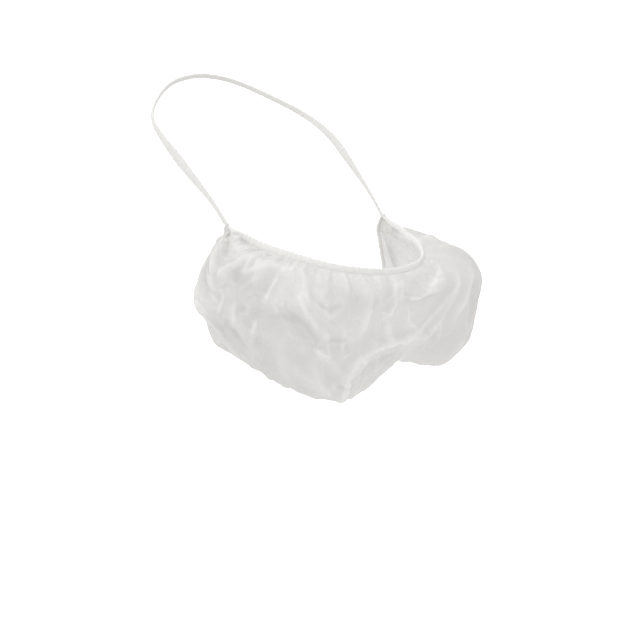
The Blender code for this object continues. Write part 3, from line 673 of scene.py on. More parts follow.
class Nodes:
    """Adds nodes to a tree and links them."""

    def __init__(self, tree):
        self.tree = tree
        tree.nodes.clear()

    def add(self, kind, settings=None, sockets=None, out=0):
        """A node with its settings, then its sockets, and one of its outputs."""
        node = self.tree.nodes.new(kind)
        for name, value in (settings or {}).items():
            if name == "stops":
                self.set_stops(node.color_ramp, *value)
            else:
                setattr(node, name, value)
        pairs = sockets.items() if isinstance(sockets, dict) else enumerate(sockets or [])
        for key, value in pairs:
            if isinstance(value, Value):
                self.tree.links.new(value.socket, node.inputs[key])
            else:
                node.inputs[key].default_value = value
        return Value(self, node.outputs[out]) if len(node.outputs) else None

    def set_stops(self, ramp, blend, stops):
        """How a ramp blends, and its stops, each a place and a grey."""
        ramp.interpolation = blend
        while len(ramp.elements) < len(stops):
            ramp.elements.new(1.0)
        for element, (place, grey) in zip(ramp.elements, stops):
            element.position = place
            element.color = (grey, grey, grey, 1.0)

    def other(self, value, name):
        """Another output of the node that gave a value."""
        return Value(self, value.socket.node.outputs[name])

    def maths(self, operation, *given):
        return self.add("ShaderNodeMath", {"operation": operation}, given)

    def vector(self, operation, *given):
        return self.add("ShaderNodeVectorMath", {"operation": operation}, given)

    def scaled(self, vector, amount):
        return self.add("ShaderNodeVectorMath", {"operation": "SCALE"},
                        {"Vector": vector, "Scale": amount})

    def kept_at_points(self, name, out):
        """What a mesh keeps at its points under a name."""
        return self.add("ShaderNodeAttribute", {"attribute_name": name}, out=out)

    def laid(self, place, turn, stretch=(1.0, 1.0, 1.0)):
        """A place turned and stretched for a pattern."""
        return self.add("ShaderNodeMapping", {},
                        {"Vector": place, "Rotation": turn, "Scale": stretch})

    def noise(self, place, scale, detail=2.0, roughness=0.5, distortion=0.0):
        return self.add("ShaderNodeTexNoise", {"noise_dimensions": "3D"}, {
            "Vector": place, "Scale": scale, "Detail": detail, "Roughness": roughness,
            "Distortion": distortion})

    def ramp(self, value, stops, blend="EASE"):
        """A value led through a ramp of greys."""
        return self.add("ShaderNodeValToRGB", {"stops": (blend, stops)}, {"Fac": value})

    def lines(self, noise, stops):
        """Thin lines where a noise passes through its middle value."""
        return self.ramp(abs(noise - 0.5), stops)

    def mixed(self, share, first, second):
        """A colour between two, which go into sockets 6 and 7 and come out at 2."""
        return self.add("ShaderNodeMix", {"data_type": "RGBA"},
                        {0: share, 6: first, 7: second}, out=2)


def shaded(colour, shade):
    """A colour made lighter or darker, with the alpha that a socket wants."""
    return tuple(min(part * shade, 1.0) for part in colour) + (1.0,)


def fibres_in(n, cloth):
    """Swirled fibres that lie in three directions."""
    bend = n.add("ShaderNodeTexNoise", {}, {"Vector": cloth, "Scale": SWIRL_SCALE, "Detail": 1.0},
                 out="Color")
    away = n.scaled(n.vector("SUBTRACT", bend, (0.5, 0.5, 0.5)), SWIRL_REACH)
    swirl = n.vector("ADD", cloth, away)
    fibres = None
    for turn in FIBRE_TURNS:
        lay = n.laid(swirl, (0, 0, turn), (FIBRE_LENGTH, 1.0, 1.0))
        strands = n.lines(n.noise(lay, FIBRE_SCALE, roughness=0.6), FIBRE_STOPS)
        fibres = strands if fibres is None else fibres.at_least(strands)
    return fibres


def hairlines_in(n, place):
    """Hairline creases in patches, where the cloth is loose."""
    creases = None
    for turn, stretch in HAIRLINE_SETS:
        line = n.noise(n.laid(place, turn, stretch), HAIRLINE_SCALE, detail=0.0)
        line = n.lines(line, HAIRLINE_STOPS)
        creases = line if creases is None else creases.at_least(line)
    patches = n.ramp(n.noise(place, HAIRLINE_SCALE, detail=1.0), HAIRLINE_PATCHES)
    return creases * patches * n.kept_at_points("loose", "Fac")


def nonwoven(name, colour, look):
    """Thin spunbond cloth: swirled fibres, rows of small bonds and soft crumples, with painted
    highlight on crests and painted shade in valleys.
    """
    material = bpy.data.materials.new(name)
    material.use_nodes = True
    n = Nodes(material.node_tree)
    cloth = n.kept_at_points("cloth", "Vector")
    place = n.add("ShaderNodeTexCoord", out="Object")
    fibres = fibres_in(n, cloth)
    dots = n.add("ShaderNodeTexVoronoi", {"voronoi_dimensions": "2D"}, {
        "Vector": n.laid(cloth, (0, 0, BOND_TURN)), "Scale": 1 / BOND_PITCH, "Randomness": 0.0})
    bonds = n.ramp(dots, BOND_STOPS)
    clouds = n.noise(cloth, CLOUD_SCALE, detail=3.0, roughness=0.6)
    density = CLOUD_SHARE * clouds + FIBRE_SHARE * fibres + BOND_SHARE * bonds
    shade = n.mixed(n.ramp(density, DENSITY_STOPS), shaded(colour, look["thin_shade"]),
                    shaded(colour, 1.0))
    crumple = n.noise(place, look["crumple_scale"], detail=3.0, roughness=0.55, distortion=1.2)
    crease = n.lines(crumple, CREASE_STOPS)
    height = (fibres * look["fibre_height"] - bonds * look["bond_height"]
              + crease * look["crease_height"])
    # Hairline creases bump the cloth and are also painted brighter, as thin painted highlights
    if look["hairline"]:
        hairline = hairlines_in(n, place) * look["hairline"]
        height = height + hairline * look["hairline_height"]
        fold = n.kept_at_points("fold", "Fac") + hairline
        # Painted highlight on crests and painted shade in valleys, from the fold value
        for side, tone in ((fold, "crest_painted_highlight"), (-fold, "valley_painted_shade")):
            share = n.ramp(side, FULL_RANGE, "LINEAR")
            shade = n.mixed(share, shade, shaded(colour, look[tone]))
    alpha = look["alpha"]
    if look["alpha_swing"]:
        alpha = (alpha + look["alpha_swing"] * (density - MEAN_DENSITY)).at_most(1.0)
    bump = n.add("ShaderNodeBump", {}, {"Strength": 1.0, "Distance": 1.0, "Height": height})
    solid = n.add("ShaderNodeBsdfPrincipled", {}, {
        **MATT_CLOTH, "Base Color": shade, "Alpha": alpha, "Normal": bump})
    glow = n.add("ShaderNodeBsdfTranslucent", {}, {"Color": (*look["glow"], 1.0), "Normal": bump})
    both = n.add("ShaderNodeMixShader", {}, {0: look["through"], 1: solid, 2: glow})
    n.add("ShaderNodeOutputMaterial", {}, {"Surface": both})
    return material


def sleeve_tree():
    """Geometry Nodes that pull a gathered sleeve of cloth over a flat elastic."""
    tree = bpy.data.node_groups.new("gathered sleeve", "GeometryNodeTree")
    tree.interface.new_socket("Geometry", in_out="INPUT", socket_type="NodeSocketGeometry")
    for name, kind in SLEEVE_INPUTS:
        tree.interface.new_socket(name, in_out="INPUT", socket_type=kind)
    tree.interface.new_socket("Geometry", in_out="OUTPUT", socket_type="NodeSocketGeometry")
    n = Nodes(tree)
    path = n.add("NodeGroupInput")

    def given(name):
        return n.other(path, name)

    def stored(geometry, name, kind, value):
        return n.add("GeometryNodeStoreNamedAttribute", {"data_type": kind, "domain": "POINT"},
                     {"Geometry": geometry, "Name": name, "Value": value})

    def named(name, kind="FLOAT"):
        return n.add("GeometryNodeInputNamedAttribute", {"data_type": kind}, {"Name": name})

    curve = n.add("GeometryNodeMeshToCurve", {}, {"Mesh": n.other(path, "Geometry")})
    curve = stored(curve, "along", "FLOAT", n.add("GeometryNodeSplineParameter", out="Length"))
    curve = stored(curve, "middle", "FLOAT_VECTOR", n.add("GeometryNodeInputPosition"))
    curve = stored(curve, "tangent", "FLOAT_VECTOR", n.add("GeometryNodeInputTangent"))
    ring = n.add("GeometryNodeCurvePrimitiveCircle", {},
                 {"Resolution": given("Sides"), "Radius": RING_RADIUS})
    ring = stored(ring, "turn", "FLOAT", n.add("GeometryNodeSplineParameter") * (2 * math.pi))
    tube = n.add("GeometryNodeCurveToMesh", {},
                 {"Curve": curve, "Profile Curve": ring, "Fill Caps": True})

    tangent = named("tangent", "FLOAT_VECTOR")
    wide = named("wide_way", "FLOAT_VECTOR")
    thin = n.vector("NORMALIZE", n.vector("CROSS_PRODUCT", tangent, wide))
    wide = n.vector("NORMALIZE", n.vector("CROSS_PRODUCT", thin, tangent))
    along = named("along")
    across = named("turn").cosine()
    through = named("turn").sine()

    drift = n.add("ShaderNodeTexNoise", {"noise_dimensions": "1D"},
                  {"W": along * DRIFT_SCALE + given("Seed"), "Scale": 1.0, "Detail": 2.0})
    spread = n.add("ShaderNodeCombineXYZ", {},
                   [along * SIDE_SCALE, across * SIDE_STRETCH, given("Seed")])
    side = n.add("ShaderNodeTexNoise", {"noise_dimensions": "2D"},
                 {"Vector": spread, "Scale": 1.0, "Detail": 2.0})
    phase = (along * given("Gathers per metre") * (2 * math.pi) + drift * DRIFT_SIZE
             + across * GATHER_SLANT)
    ridge = 1.0 - abs((phase * 0.5).sine())
    swell = (ridge - RIDGE_MIDDLE) * given("Gather depth") + (side - 0.5) * given("Unevenness")
    wide_swell = swell * (FLAT_SWELL + EDGE_SWELL * (across * across))
    wide_size = named("half_width") * (1.0 + wide_swell)
    thin_size = given("Half thickness") * (1.0 + swell * THIN_SWELL)
    sway = (side - 0.5) * given("Sway")
    placed = n.vector("ADD", named("middle", "FLOAT_VECTOR"), n.scaled(wide, across * wide_size))
    placed = n.vector("ADD", placed, n.scaled(thin, through * thin_size + sway))
    tube = n.add("GeometryNodeSetPosition", {}, {"Geometry": tube, "Position": placed})
    round_sleeve = across * given("Half thickness") * WEAVE_STRETCH
    cloth = n.add("ShaderNodeCombineXYZ", {}, [along, round_sleeve, 0.0])
    tube = stored(tube, "cloth", "FLOAT_VECTOR", cloth)
    tube = n.add("GeometryNodeSetShadeSmooth", {}, {"Geometry": tube})
    tube = n.add("GeometryNodeRealizeInstances", {}, {"Geometry": tube})
    tube = n.add("GeometryNodeSetMaterial", {}, {"Geometry": tube, "Material": given("Cloth")})
    n.add("NodeGroupOutput", {}, {"Geometry": tube})
    return tree


def add_object(mesh):
    """A mesh as an object in the middle of the scene."""
    piece = bpy.data.objects.new(mesh.name, mesh)
    bpy.context.scene.collection.objects.link(piece)
    return piece


def add_mesh(name, points, faces, material=None):
    """A smooth mesh object with its material."""
    mesh = bpy.data.meshes.new(name)
    mesh.from_pydata([tuple(p) for p in points], [], faces)
    mesh.validate()
    if material:
        mesh.materials.append(material)
    mesh.polygons.foreach_set("use_smooth", [True] * len(mesh.polygons))
    return add_object(mesh)


def add_values(mesh, **values):
    """Numbers or vectors kept at the points of a mesh, each under its name."""
    for name, at_points in values.items():
        at_points = np.asarray(at_points, dtype=np.float32).reshape(len(mesh.vertices), -1)
        vectors = at_points.shape[1] > 1
        kind, field = ("FLOAT_VECTOR", "vector") if vectors else ("FLOAT", "value")
        mesh.attributes.new(name, kind, "POINT").data.foreach_set(field, at_points.ravel())


def grid_faces(columns, rows):
    """Quads of a grid of points, facing outward."""
    faces = []
    for i in range(columns - 1):
        for j in range(rows - 1):
            a = i * rows + j
            faces.append((a, a + 1, a + rows + 1, a + rows))
    return faces


def as_plain_mesh(piece):
    """Swap a piece for the plain mesh that its modifiers give."""
    bpy.context.view_layer.update()
    graph = bpy.context.evaluated_depsgraph_get()
    made = bpy.data.meshes.new_from_object(piece.evaluated_get(graph), depsgraph=graph)
    made.name = piece.name
    piece.modifiers.clear()
    piece.data = made
    return piece


def make_sleeve(name, middle, wide_way, half_width, settings, material, seed):
    """A gathered sleeve along a path, from the Geometry Nodes tree."""
    mesh = bpy.data.meshes.new(name)
    mesh.from_pydata([tuple(p) for p in middle], [(i, i + 1) for i in range(len(middle) - 1)], [])
    add_values(mesh, wide_way=wide_way, half_width=half_width)
    piece = add_object(mesh)
    tree = bpy.data.node_groups.get("gathered sleeve") or sleeve_tree()
    gather = piece.modifiers.new("gathers", "NODES")
    gather.node_group = tree
    values = dict(settings, Seed=seed, Cloth=material)
    for item in tree.interface.items_tree:
        if item.in_out == "INPUT" and item.name in values:
            gather[item.identifier] = values[item.name]
    return as_plain_mesh(piece)


def dress(piece, node):
    """Let a piece ride on the cover and stand for its CAD node."""
    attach(piece, "root")
    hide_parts(node)


def crumple_cloth(points, station, girth, settings):
    """Let spare cloth buckle between the hems, held near its own shape."""
    columns, rows = points.shape[:2]
    flat = points.reshape(-1, 3)
    rest = add_mesh("bag_cloth_at_work", flat, grid_faces(columns, rows))
    edge = np.minimum(girth, 1 - girth) * BAG_GIRTH
    ear = (1 - np.abs(station)) * BAG_SPAN / 2
    looseness = looseness_at(station)
    nearest = np.minimum(edge, ear)
    held = np.where(nearest < AT_EDGE, 1.0, settings.hold / looseness)
    gathered = np.maximum(np.exp(-nearest / SPARE_FADE) * looseness ** 0.5,
                          looseness * MIDDLE_SPARE)
    for name, weights in (("held", held), ("gathered", gathered)):
        group = rest.vertex_groups.new(name=name)
        for index, weight in enumerate(weights.ravel()):
            group.add([index], float(weight), "REPLACE")
    sim = rest.modifiers.new("crumple", "CLOTH")
    cloth = sim.settings
    for name, value in CLOTH_SETTINGS.items():
        setattr(cloth, name, value)
    cloth.quality = settings.quality
    cloth.effector_weights.gravity = settings.sag
    cloth.bending_stiffness = settings.stiffness
    cloth.vertex_group_mass = "held"
    cloth.vertex_group_shrink = "gathered"
    cloth.shrink_max = -settings.spare_at_hems
    sim.collision_settings.use_collision = False
    sim.point_cache.frame_start = 1
    sim.point_cache.frame_end = settings.frames
    for at in range(1, settings.frames + 1):
        bpy.context.scene.frame_set(at)
    as_plain_mesh(rest)
    moved = np.empty(len(flat) * 3)
    rest.data.vertices.foreach_get("co", moved)
    bpy.data.objects.remove(rest, do_unlink=True)
    bpy.context.scene.frame_set(1)
    shift = moved.reshape(points.shape) - points
    far = np.linalg.norm(shift, axis=2, keepdims=True)
    return points + shift * np.minimum(1.0, settings.most_shift / np.maximum(far, AT_EDGE))


def length_setting(name, description, default):
    """A length in metres."""
    return bpy.props.FloatProperty(name=name, description=description, default=default,
                                   subtype="DISTANCE", unit="LENGTH")


def colour_setting(name, description, default):
    """A colour."""
    return bpy.props.FloatVectorProperty(name=name, description=description, default=default,
                                         subtype="COLOR", size=3, min=0, max=1)


def share_setting(name, description, default, most=1.0):
    """A share from nothing to the most."""
    return bpy.props.FloatProperty(name=name, description=description, default=default,
                                   subtype="FACTOR", min=0, max=most)


def count_setting(name, description, default, least):
    """A whole number."""
    return bpy.props.IntProperty(name=name, description=description, default=default, min=least)


def angle_setting(name, description, degrees):
    """An angle, given in degrees."""
    return bpy.props.FloatProperty(name=name, description=description,
                                   default=math.radians(degrees), subtype="ANGLE",
                                   unit="ROTATION")


def power_setting(name, description, default):
    """A lamp's power in watts."""
    return bpy.props.FloatProperty(name=name, description=description, default=default,
                                   min=0, unit="POWER")


class BeardCoverBag(bpy.types.PropertyGroup):
    """Sizes of the bag's cloth."""

    colour: colour_setting("Cloth colour", "Colour of the bag's cloth", (0.71, 0.703, 0.688))
    columns: count_setting("Columns", "Points of the cloth from ear to ear", 231, 40)
    rows: count_setting("Rows", "Points of the cloth from hem to hem", 91, 20)
    spare_at_hems: share_setting(
        "Spare cloth at hems", "Share by which the cloth is longer at a hem", 0.14, 0.4)
    hold: share_setting("Hold", "How firmly the cloth keeps to its own shape", 0.12)
    stiffness: bpy.props.FloatProperty(
        name="Bending stiffness", description="How much the cloth resists a sharp fold",
        default=0.02, min=0)
    sag: share_setting("Sag", "Share of its weight that the cloth feels", 0.0)
    quality: count_setting("Steps per frame", "How finely the cloth is worked out", 6, 1)
    frames: count_setting("Frames", "How long the cloth may move", 24, 2)
    most_shift: length_setting("Most shift", "How far a point may move", 0.006)
    flat_width: length_setting(
        "Flat width", "Width of the cloth before it was gathered, ear to ear", 0.36)
    flat_length: length_setting(
        "Flat length", "Length of the cloth before it was gathered, hem to hem", 0.15)


class BeardCoverSleeves(bpy.types.PropertyGroup):
    """Sizes of the hems and the strap."""

    hem_colour: colour_setting("Hem colour", "Colour of the gathered hems", (0.94, 0.933, 0.91))
    strap_colour: colour_setting(
        "Strap colour", "Colour of the strap's sleeve", (0.87, 0.857, 0.835))
    hem_half_width: length_setting("Hem half width", "Half the height of a hem", 0.0030)
    hem_half_thickness: length_setting(
        "Hem half thickness", "Half the thickness of a hem", 0.0009)
    strap_half_thickness: length_setting(
        "Strap half thickness", "Half the thickness of the strap", 0.0009)
    step: length_setting("Step", "Distance between two rings of a sleeve", 0.0005)


class BeardCoverGathers(bpy.types.PropertyGroup):
    """Sizes of the ear gathers."""

    colour: colour_setting(
        "Gather colour", "Colour of the pleated ear gathers", (0.90, 0.895, 0.878))
    reach: length_setting("Reach", "Ear point to the gather's tip at the strap", 0.0025)
    pleats: count_setting("Pleats", "Folds in one ear gather", 9, 2)
    pleat_height: length_setting("Pleat height", "Height of a fold at the gather", 0.0006)


class BeardCoverStage(bpy.types.PropertyGroup):
    """Camera, floor and lights."""

    turn: angle_setting(
        "Camera turn", "Camera's turn from straight in front of the wearer", -42)
    rise: angle_setting("Camera rise", "Camera's height as an angle", 6)
    distance: length_setting("Camera distance", "Camera to the middle of the view", 2.0)
    floor: length_setting("Floor", "Height of the floor", -0.372)
    floor_colour: colour_setting(
        "Floor colour", "Colour of the floor and the backdrop", (0.93, 0.93, 0.93))
    key: power_setting("Key light", "Strength of the main light", 13.0)
    fill: power_setting("Fill light", "Strength of the light from the other side", 0.6)


class BEARDCOVER_OT_stage(bpy.types.Operator):
    """Make the camera, the pale floor and the soft lights"""

    bl_idname = "beard_cover.make_stage"
    bl_label = "Make Stage"

    def execute(self, context):
        s = context.scene.beard_cover_stage
        back = mathutils.Vector((
            math.sin(s.turn) * math.cos(s.rise), -math.cos(s.turn) * math.cos(s.rise),
            math.sin(s.rise)))
        right = mathutils.Vector((math.cos(s.turn), math.sin(s.turn), 0.0))
        up = back.cross(right)
        centre = mathutils.Vector(HEAD_CENTRE)
        target = centre + right * VIEW_SHIFT[0] * PIXEL - up * VIEW_SHIFT[1] * PIXEL
        self.make_camera(context.scene, s, target, (right, up, back))
        self.make_floor(s)
        self.make_lights(context.scene, s, centre, target, (right, up, back))
        return {"FINISHED"}

    def make_camera(self, scene, s, target, axes):
        """The camera, which looks along its third axis at the target."""
        lens = bpy.data.cameras.new("camera")
        lens.lens = lens.sensor_width * s.distance / (PIXEL * PICTURE)
        lens.clip_end = FAR_CLIP
        camera = bpy.data.objects.new("camera", lens)
        camera.matrix_world = mathutils.Matrix.Translation(target + axes[2] * s.distance) @ (
            mathutils.Matrix(axes).transposed().to_4x4())
        scene.collection.objects.link(camera)
        scene.camera = camera

    def make_floor(self, s):
        """A round of pale paper whose rim bends up into a backdrop."""
        rings = [(radius, s.floor) for radius in FLOOR_RADII]
        rings += [(FLOOR_RADII[-1] + BACKDROP_RADIUS * math.sin(a),
                   s.floor + BACKDROP_RADIUS * (1 - math.cos(a)))
                  for a in np.linspace(BACKDROP_START, math.pi / 2, BACKDROP_RINGS)]
        points = [(0.0, 0.0, s.floor)]
        points += [(r * math.cos(a), r * math.sin(a), z) for r, z in rings
                   for a in np.linspace(0, 2 * math.pi, FLOOR_SIDES, endpoint=False)]
        faces = [(0, 1 + k, 1 + (k + 1) % FLOOR_SIDES) for k in range(FLOOR_SIDES)]
        for i in range(len(rings) - 1):
            for k in range(FLOOR_SIDES):
                a = 1 + i * FLOOR_SIDES + k
                b = 1 + i * FLOOR_SIDES + (k + 1) % FLOOR_SIDES
                faces.append((a, a + FLOOR_SIDES, b + FLOOR_SIDES, b))
        paper = bpy.data.materials.new("pale_paper")
        paper.use_nodes = True
        n = Nodes(paper.node_tree)
        grain = n.noise(n.add("ShaderNodeTexCoord", out="Object"), PAPER_GRAIN, detail=4.0)
        tint = n.mixed(grain, shaded(s.floor_colour, PAPER_SHADE), shaded(s.floor_colour, 1.0))
        matt = n.add("ShaderNodeBsdfPrincipled", {}, {
            "Base Color": tint, "Roughness": 0.9, "Specular IOR Level": 0.1,
            "Emission Color": (1, 1, 1, 1), "Emission Strength": FLOOR_GLOW})
        n.add("ShaderNodeOutputMaterial", {}, {"Surface": matt})
        floor = add_mesh("pale_floor", points, faces, paper)
        floor.visible_diffuse = False

    def make_lights(self, scene, s, centre, target, axes):
        """A bright sky, which lights the cloth evenly, and three soft lamps."""
        world = bpy.data.worlds.new("studio")
        world.use_nodes = True
        sky = world.node_tree.nodes["Background"]
        sky.inputs["Color"].default_value = (1.0, 1.0, 1.0, 1.0)
        sky.inputs["Strength"].default_value = SKY_STRENGTH
        scene.world = world
        scene.view_settings.view_transform = "Standard"
        for name, power, size, *place in LAMPS:
            lamp = bpy.data.lights.new(name, "AREA")
            lamp.shape = "DISK"
            lamp.size = size
            lamp.energy = {"key": s.key, "fill": s.fill}.get(name, power)
            lit = bpy.data.objects.new(name, lamp)
            lit.location = centre + axes[0] * place[0] + axes[1] * place[1] + axes[2] * place[2]
            lit.rotation_euler = (lit.location - target).to_track_quat("Z", "Y").to_euler()
            scene.collection.objects.link(lit)


class BEARDCOVER_OT_bag(bpy.types.Operator):
    """Make the bag's cloth with its folds, gathers and crumples"""

    bl_idname = "beard_cover.make_bag"
    bl_label = "Make Bag"

    def execute(self, context):
        s = context.scene.beard_cover_bag
        points, station, girth = bag_grid(s.columns, s.rows)
        points = crumple_cloth(points, station, girth, s)
        # The fold value gives the painted highlight on crests and the painted shade in valleys
        fold = fold_of(points, station, girth)
        points, station, girth, fold = map(finer, (points, station, girth, fold))
        wrinkles = wrinkle_height(station, girth) * from_hems(girth)
        points = points + grid_normals(points) * wrinkles[:, :, None]
        # Wrinkles add to that painted highlight and shade, and so does the table of painted light
        # and shade
        fold = fold + wrinkles / WRINKLE_TONE
        fold = np.clip(fold + fold_height(PAINTED_LIGHT_AND_SHADE, station, girth) / TABLE_UNIT, -1, 1)
        steps = np.linalg.norm(np.diff(points, axis=1), axis=2)
        down = np.pad(np.cumsum(steps, axis=1), ((0, 0), (1, 0)))
        places = np.stack([station * BAG_SPAN / 2, down, 0 * down], axis=2)
        piece = add_mesh("bag_of_cloth", points.reshape(-1, 3), grid_faces(*station.shape),
                         nonwoven("bag_cloth", s.colour, BAG_LOOK))
        add_values(piece.data, cloth=places, fold=fold, loose=looseness_at(station))
        dress(piece, "pouch")
        return {"FINISHED"}


class BEARDCOVER_OT_hems(bpy.types.Operator):
    """Make the two gathered hems along the bag's edges"""

    bl_idname = "beard_cover.make_hems"
    bl_label = "Make Hems"

    def execute(self, context):
        s = context.scene.beard_cover_sleeves
        reach = context.scene.beard_cover_gathers.reach
        cloth = nonwoven("hem_cloth", s.hem_colour, HEM_LOOK)
        sleeve = {**HEM_SLEEVE, "Half thickness": s.hem_half_thickness}
        stations = np.linspace(-1, 1, HEM_STATIONS)
        rows = [table_at(SECTION_COLUMNS, SECTIONS, station) for station in stations]
        sections = [section(station) for station in stations]
        for hem, edge in (("chin", 0), ("throat", -1)):
            points = np.array([hem_point(row, hem) for row in rows])
            ways = np.array([curve[edge] for curve in sections]) - points
            for side in (-1.0, 1.0):
                tip = ear_point(side) + strap_way(side) * (reach + HEM_PAST_TIP)
                points, ways = self.led_to_strap(points, ways, side, tip)
            along = distances(points)
            wanted = np.linspace(0.0, along[-1], int(along[-1] / s.step))
            middle = vectors_at(wanted, along, points)
            ways = vectors_at(wanted, along, ways)
            ways /= np.linalg.norm(ways, axis=1)[:, None]
            share = np.interp(wanted / along[-1] * 2 - 1, *zip(*HEM_WIDTHS))
            middle = middle + ways * (HEM_BAND * share)[:, None]
            piece = make_sleeve(hem + "_hem_sleeve", middle, ways, s.hem_half_width * share,
                                sleeve, cloth, HEM_SEEDS[hem])
            dress(piece, hem + "_hem")
        return {"FINISHED"}

    def led_to_strap(self, points, ways, side, tip):
        """A hem's course, led on from one ear in a bend to the end of the strap."""
        end, before = (0, HEM_BEND_FROM) if side < 0 else (-1, -1 - HEM_BEND_FROM)
        lead = points[end] - points[before]
        lead = points[end] + lead / np.linalg.norm(lead) * HEM_BEND_LEAD
        share = np.linspace(0, 1, HEM_BEND_POINTS)[1:, None]
        run = bent(points[end], lead, tip, share)
        more = np.repeat(ways[end][None], len(run), axis=0)
        if side < 0:
            return np.vstack([run[::-1], points]), np.vstack([more, ways])
        return np.vstack([points, run]), np.vstack([ways, more])


class BEARDCOVER_OT_strap(bpy.types.Operator):
    """Make the gathered strap round the back of the head"""

    bl_idname = "beard_cover.make_strap"
    bl_label = "Make Strap"

    def execute(self, context):
        s = context.scene.beard_cover_sleeves
        reach = context.scene.beard_cover_gathers.reach
        stations = np.linspace(-1, 0, STRAP_STATIONS)
        rows = [table_at(STRAP_COLUMNS, STRAP, station) for station in stations]
        right = np.array([
            [-row["side"] * HEAD_HALF_WIDTH,
             (row["back"] - 1) * EAR_FORWARD + s.strap_half_thickness * STRAP_OFF_HEAD,
             (row["rise"] - 1) * EAR_BELOW]
            for row in rows])
        widths = np.array([row["half_width"] * TABLE_UNIT for row in rows])
        left = right[-2::-1] * np.array([-1.0, 1.0, 1.0])
        points = np.vstack([right, left])
        widths = np.concatenate([widths, widths[-2::-1]])
        for _ in range(STRAP_EVENINGS):
            points[1:-1] = (points[:-2] + 2 * points[1:-1] + points[2:]) / 4
        past_gather = [self.past_gather(point, reach) for point in points]
        points, widths = points[past_gather], widths[past_gather]
        middle = spaced(points, int(distances(points)[-1] / s.step))
        half = np.interp(np.linspace(0, 1, len(middle)), np.linspace(0, 1, len(points)), widths)
        centre = np.array([0.0, -EAR_FORWARD / 2, -EAR_BELOW / 2])
        from_head = (middle - centre) * np.array([1.0, 1.0, STRAP_LEAN])
        ways = np.cross(from_head, np.gradient(middle, axis=0))
        piece = make_sleeve("strap_sleeve", middle, ways, half,
                            {**STRAP_SLEEVE, "Half thickness": s.strap_half_thickness},
                            nonwoven("strap_cloth", s.strap_colour, STRAP_LOOK), STRAP_SEED)
        dress(piece, "head_strap")
        return {"FINISHED"}

    def past_gather(self, point, reach):
        """Whether a point of the strap lies past the tip of its ear gather."""
        side = np.sign(point[0])
        return side == 0 or np.dot(point - ear_point(side), strap_way(side)) > reach


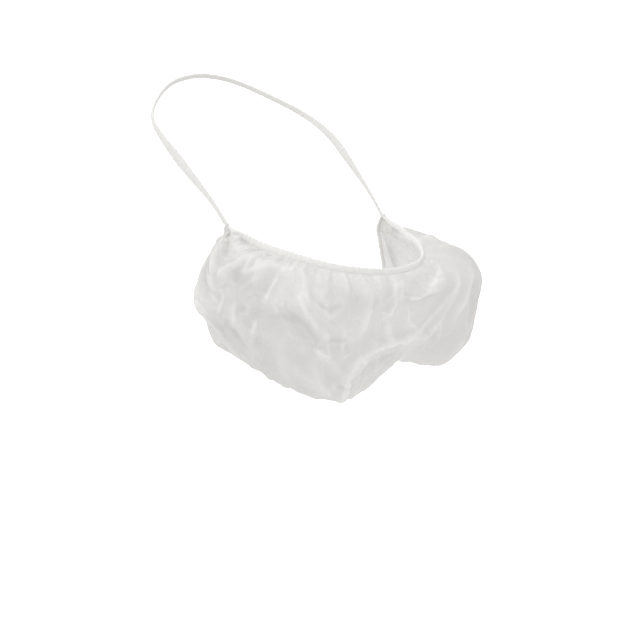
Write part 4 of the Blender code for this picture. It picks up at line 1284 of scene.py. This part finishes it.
class BEARDCOVER_OT_ear_gathers(bpy.types.Operator):
    """Make the two pleated gathers where bag, hems and strap meet"""

    bl_idname = "beard_cover.make_ear_gathers"
    bl_label = "Make Ear Gathers"

    def execute(self, context):
        s = context.scene.beard_cover_gathers
        cloth = nonwoven("gather_cloth", s.colour, GATHER_LOOK)
        flat_share, flat_girth = np.meshgrid(
            np.linspace(0, 1, FAN_RINGS), np.linspace(0, 1, FAN_COLUMNS), indexing="ij")
        places = np.stack([flat_share * FAN_FLAT[0], flat_girth * FAN_FLAT[1],
                           np.zeros_like(flat_girth)], axis=2)
        for name, side in (("right", -1.0), ("left", 1.0)):
            points = self.fan(s, side)
            piece = add_mesh("ear_gather_%s_pleats" % name, points.reshape(-1, 3),
                             grid_faces(FAN_RINGS, FAN_COLUMNS), cloth)
            add_values(piece.data, cloth=places)
            wall = piece.modifiers.new("wall", "SOLIDIFY")
            wall.thickness = FAN_WALL
            wall.offset = 0.0
            as_plain_mesh(piece)
            dress(piece, "ear_gather_" + name)
        return {"FINISHED"}

    def fan(self, s, side):
        """A grid of points from the bag's edge at an ear to the tip at the strap."""
        mouth = spaced(section(side), FAN_COLUMNS)
        back = mouth - spaced(section(side * FAN_BACK), FAN_COLUMNS)
        back /= np.linalg.norm(back, axis=1)[:, None]
        way = strap_way(side)
        high = np.cross(way, [-side, 0.0, 0.0]) * side
        girth = np.linspace(0, 1, FAN_COLUMNS)
        bulge = np.array([side, 0.0, 0.0]) * FAN_TIP_BULGE * np.sin(math.pi * girth)[:, None]
        ends = ear_point(side) + way * (s.reach + FAN_PAST_TIP) + bulge
        ends = ends + high * ((1 - 2 * girth) * FAN_TIP_HALF_HEIGHT)[:, None]
        share = np.linspace(0, 1, FAN_RINGS)[:, None, None]
        middle = bent(mouth, mouth + back * FAN_EASE, ends, share)
        drift = FAN_DRIFT * np.sin(FAN_DRIFT_TURNS * girth + side)
        wave = np.sin(2 * math.pi * s.pleats * girth + drift)
        fade = share[:, :, 0] ** 0.5 * (1 - share[:, :, 0] * FAN_FADE)
        pleats = fade * (s.pleat_height * wave)[None, :]
        return middle + grid_normals(middle) * pleats[:, :, None]


class BEARDCOVER_PT_panel(bpy.types.Panel):
    """Sizes and colours of the beard cover"""

    bl_idname = "BEARDCOVER_PT_panel"
    bl_label = "Beard Cover"
    bl_space_type = "VIEW_3D"
    bl_region_type = "UI"
    bl_category = "Beard Cover"

    def draw(self, context):
        for name, group, operators in SETTINGS:
            box = self.layout.box()
            for setting in group.__annotations__:
                box.prop(getattr(context.scene, name), setting)
            for operator in operators:
                box.operator(operator.bl_idname)


SETTINGS = (
    ("beard_cover_stage", BeardCoverStage, (BEARDCOVER_OT_stage,)),
    ("beard_cover_bag", BeardCoverBag, (BEARDCOVER_OT_bag,)),
    ("beard_cover_sleeves", BeardCoverSleeves, (BEARDCOVER_OT_hems, BEARDCOVER_OT_strap)),
    ("beard_cover_gathers", BeardCoverGathers, (BEARDCOVER_OT_ear_gathers,)),
)


def register():
    """Make the settings, the operators and the panel known."""
    for name, group, operators in SETTINGS:
        bpy.utils.register_class(group)
        setattr(bpy.types.Scene, name, bpy.props.PointerProperty(type=group))
        for operator in operators:
            bpy.utils.register_class(operator)
    bpy.utils.register_class(BEARDCOVER_PT_panel)


def unregister():
    """Take the panel, the operators and the settings away again."""
    bpy.utils.unregister_class(BEARDCOVER_PT_panel)
    for name, group, operators in reversed(SETTINGS):
        for operator in reversed(operators):
            bpy.utils.unregister_class(operator)
        delattr(bpy.types.Scene, name)
        bpy.utils.unregister_class(group)


def main():
    """Build the whole scene."""
    register()
    bpy.ops.beard_cover.make_stage()
    bpy.ops.beard_cover.make_bag()
    bpy.ops.beard_cover.make_hems()
    bpy.ops.beard_cover.make_strap()
    bpy.ops.beard_cover.make_ear_gathers()


if __name__ == "__main__":
    main()
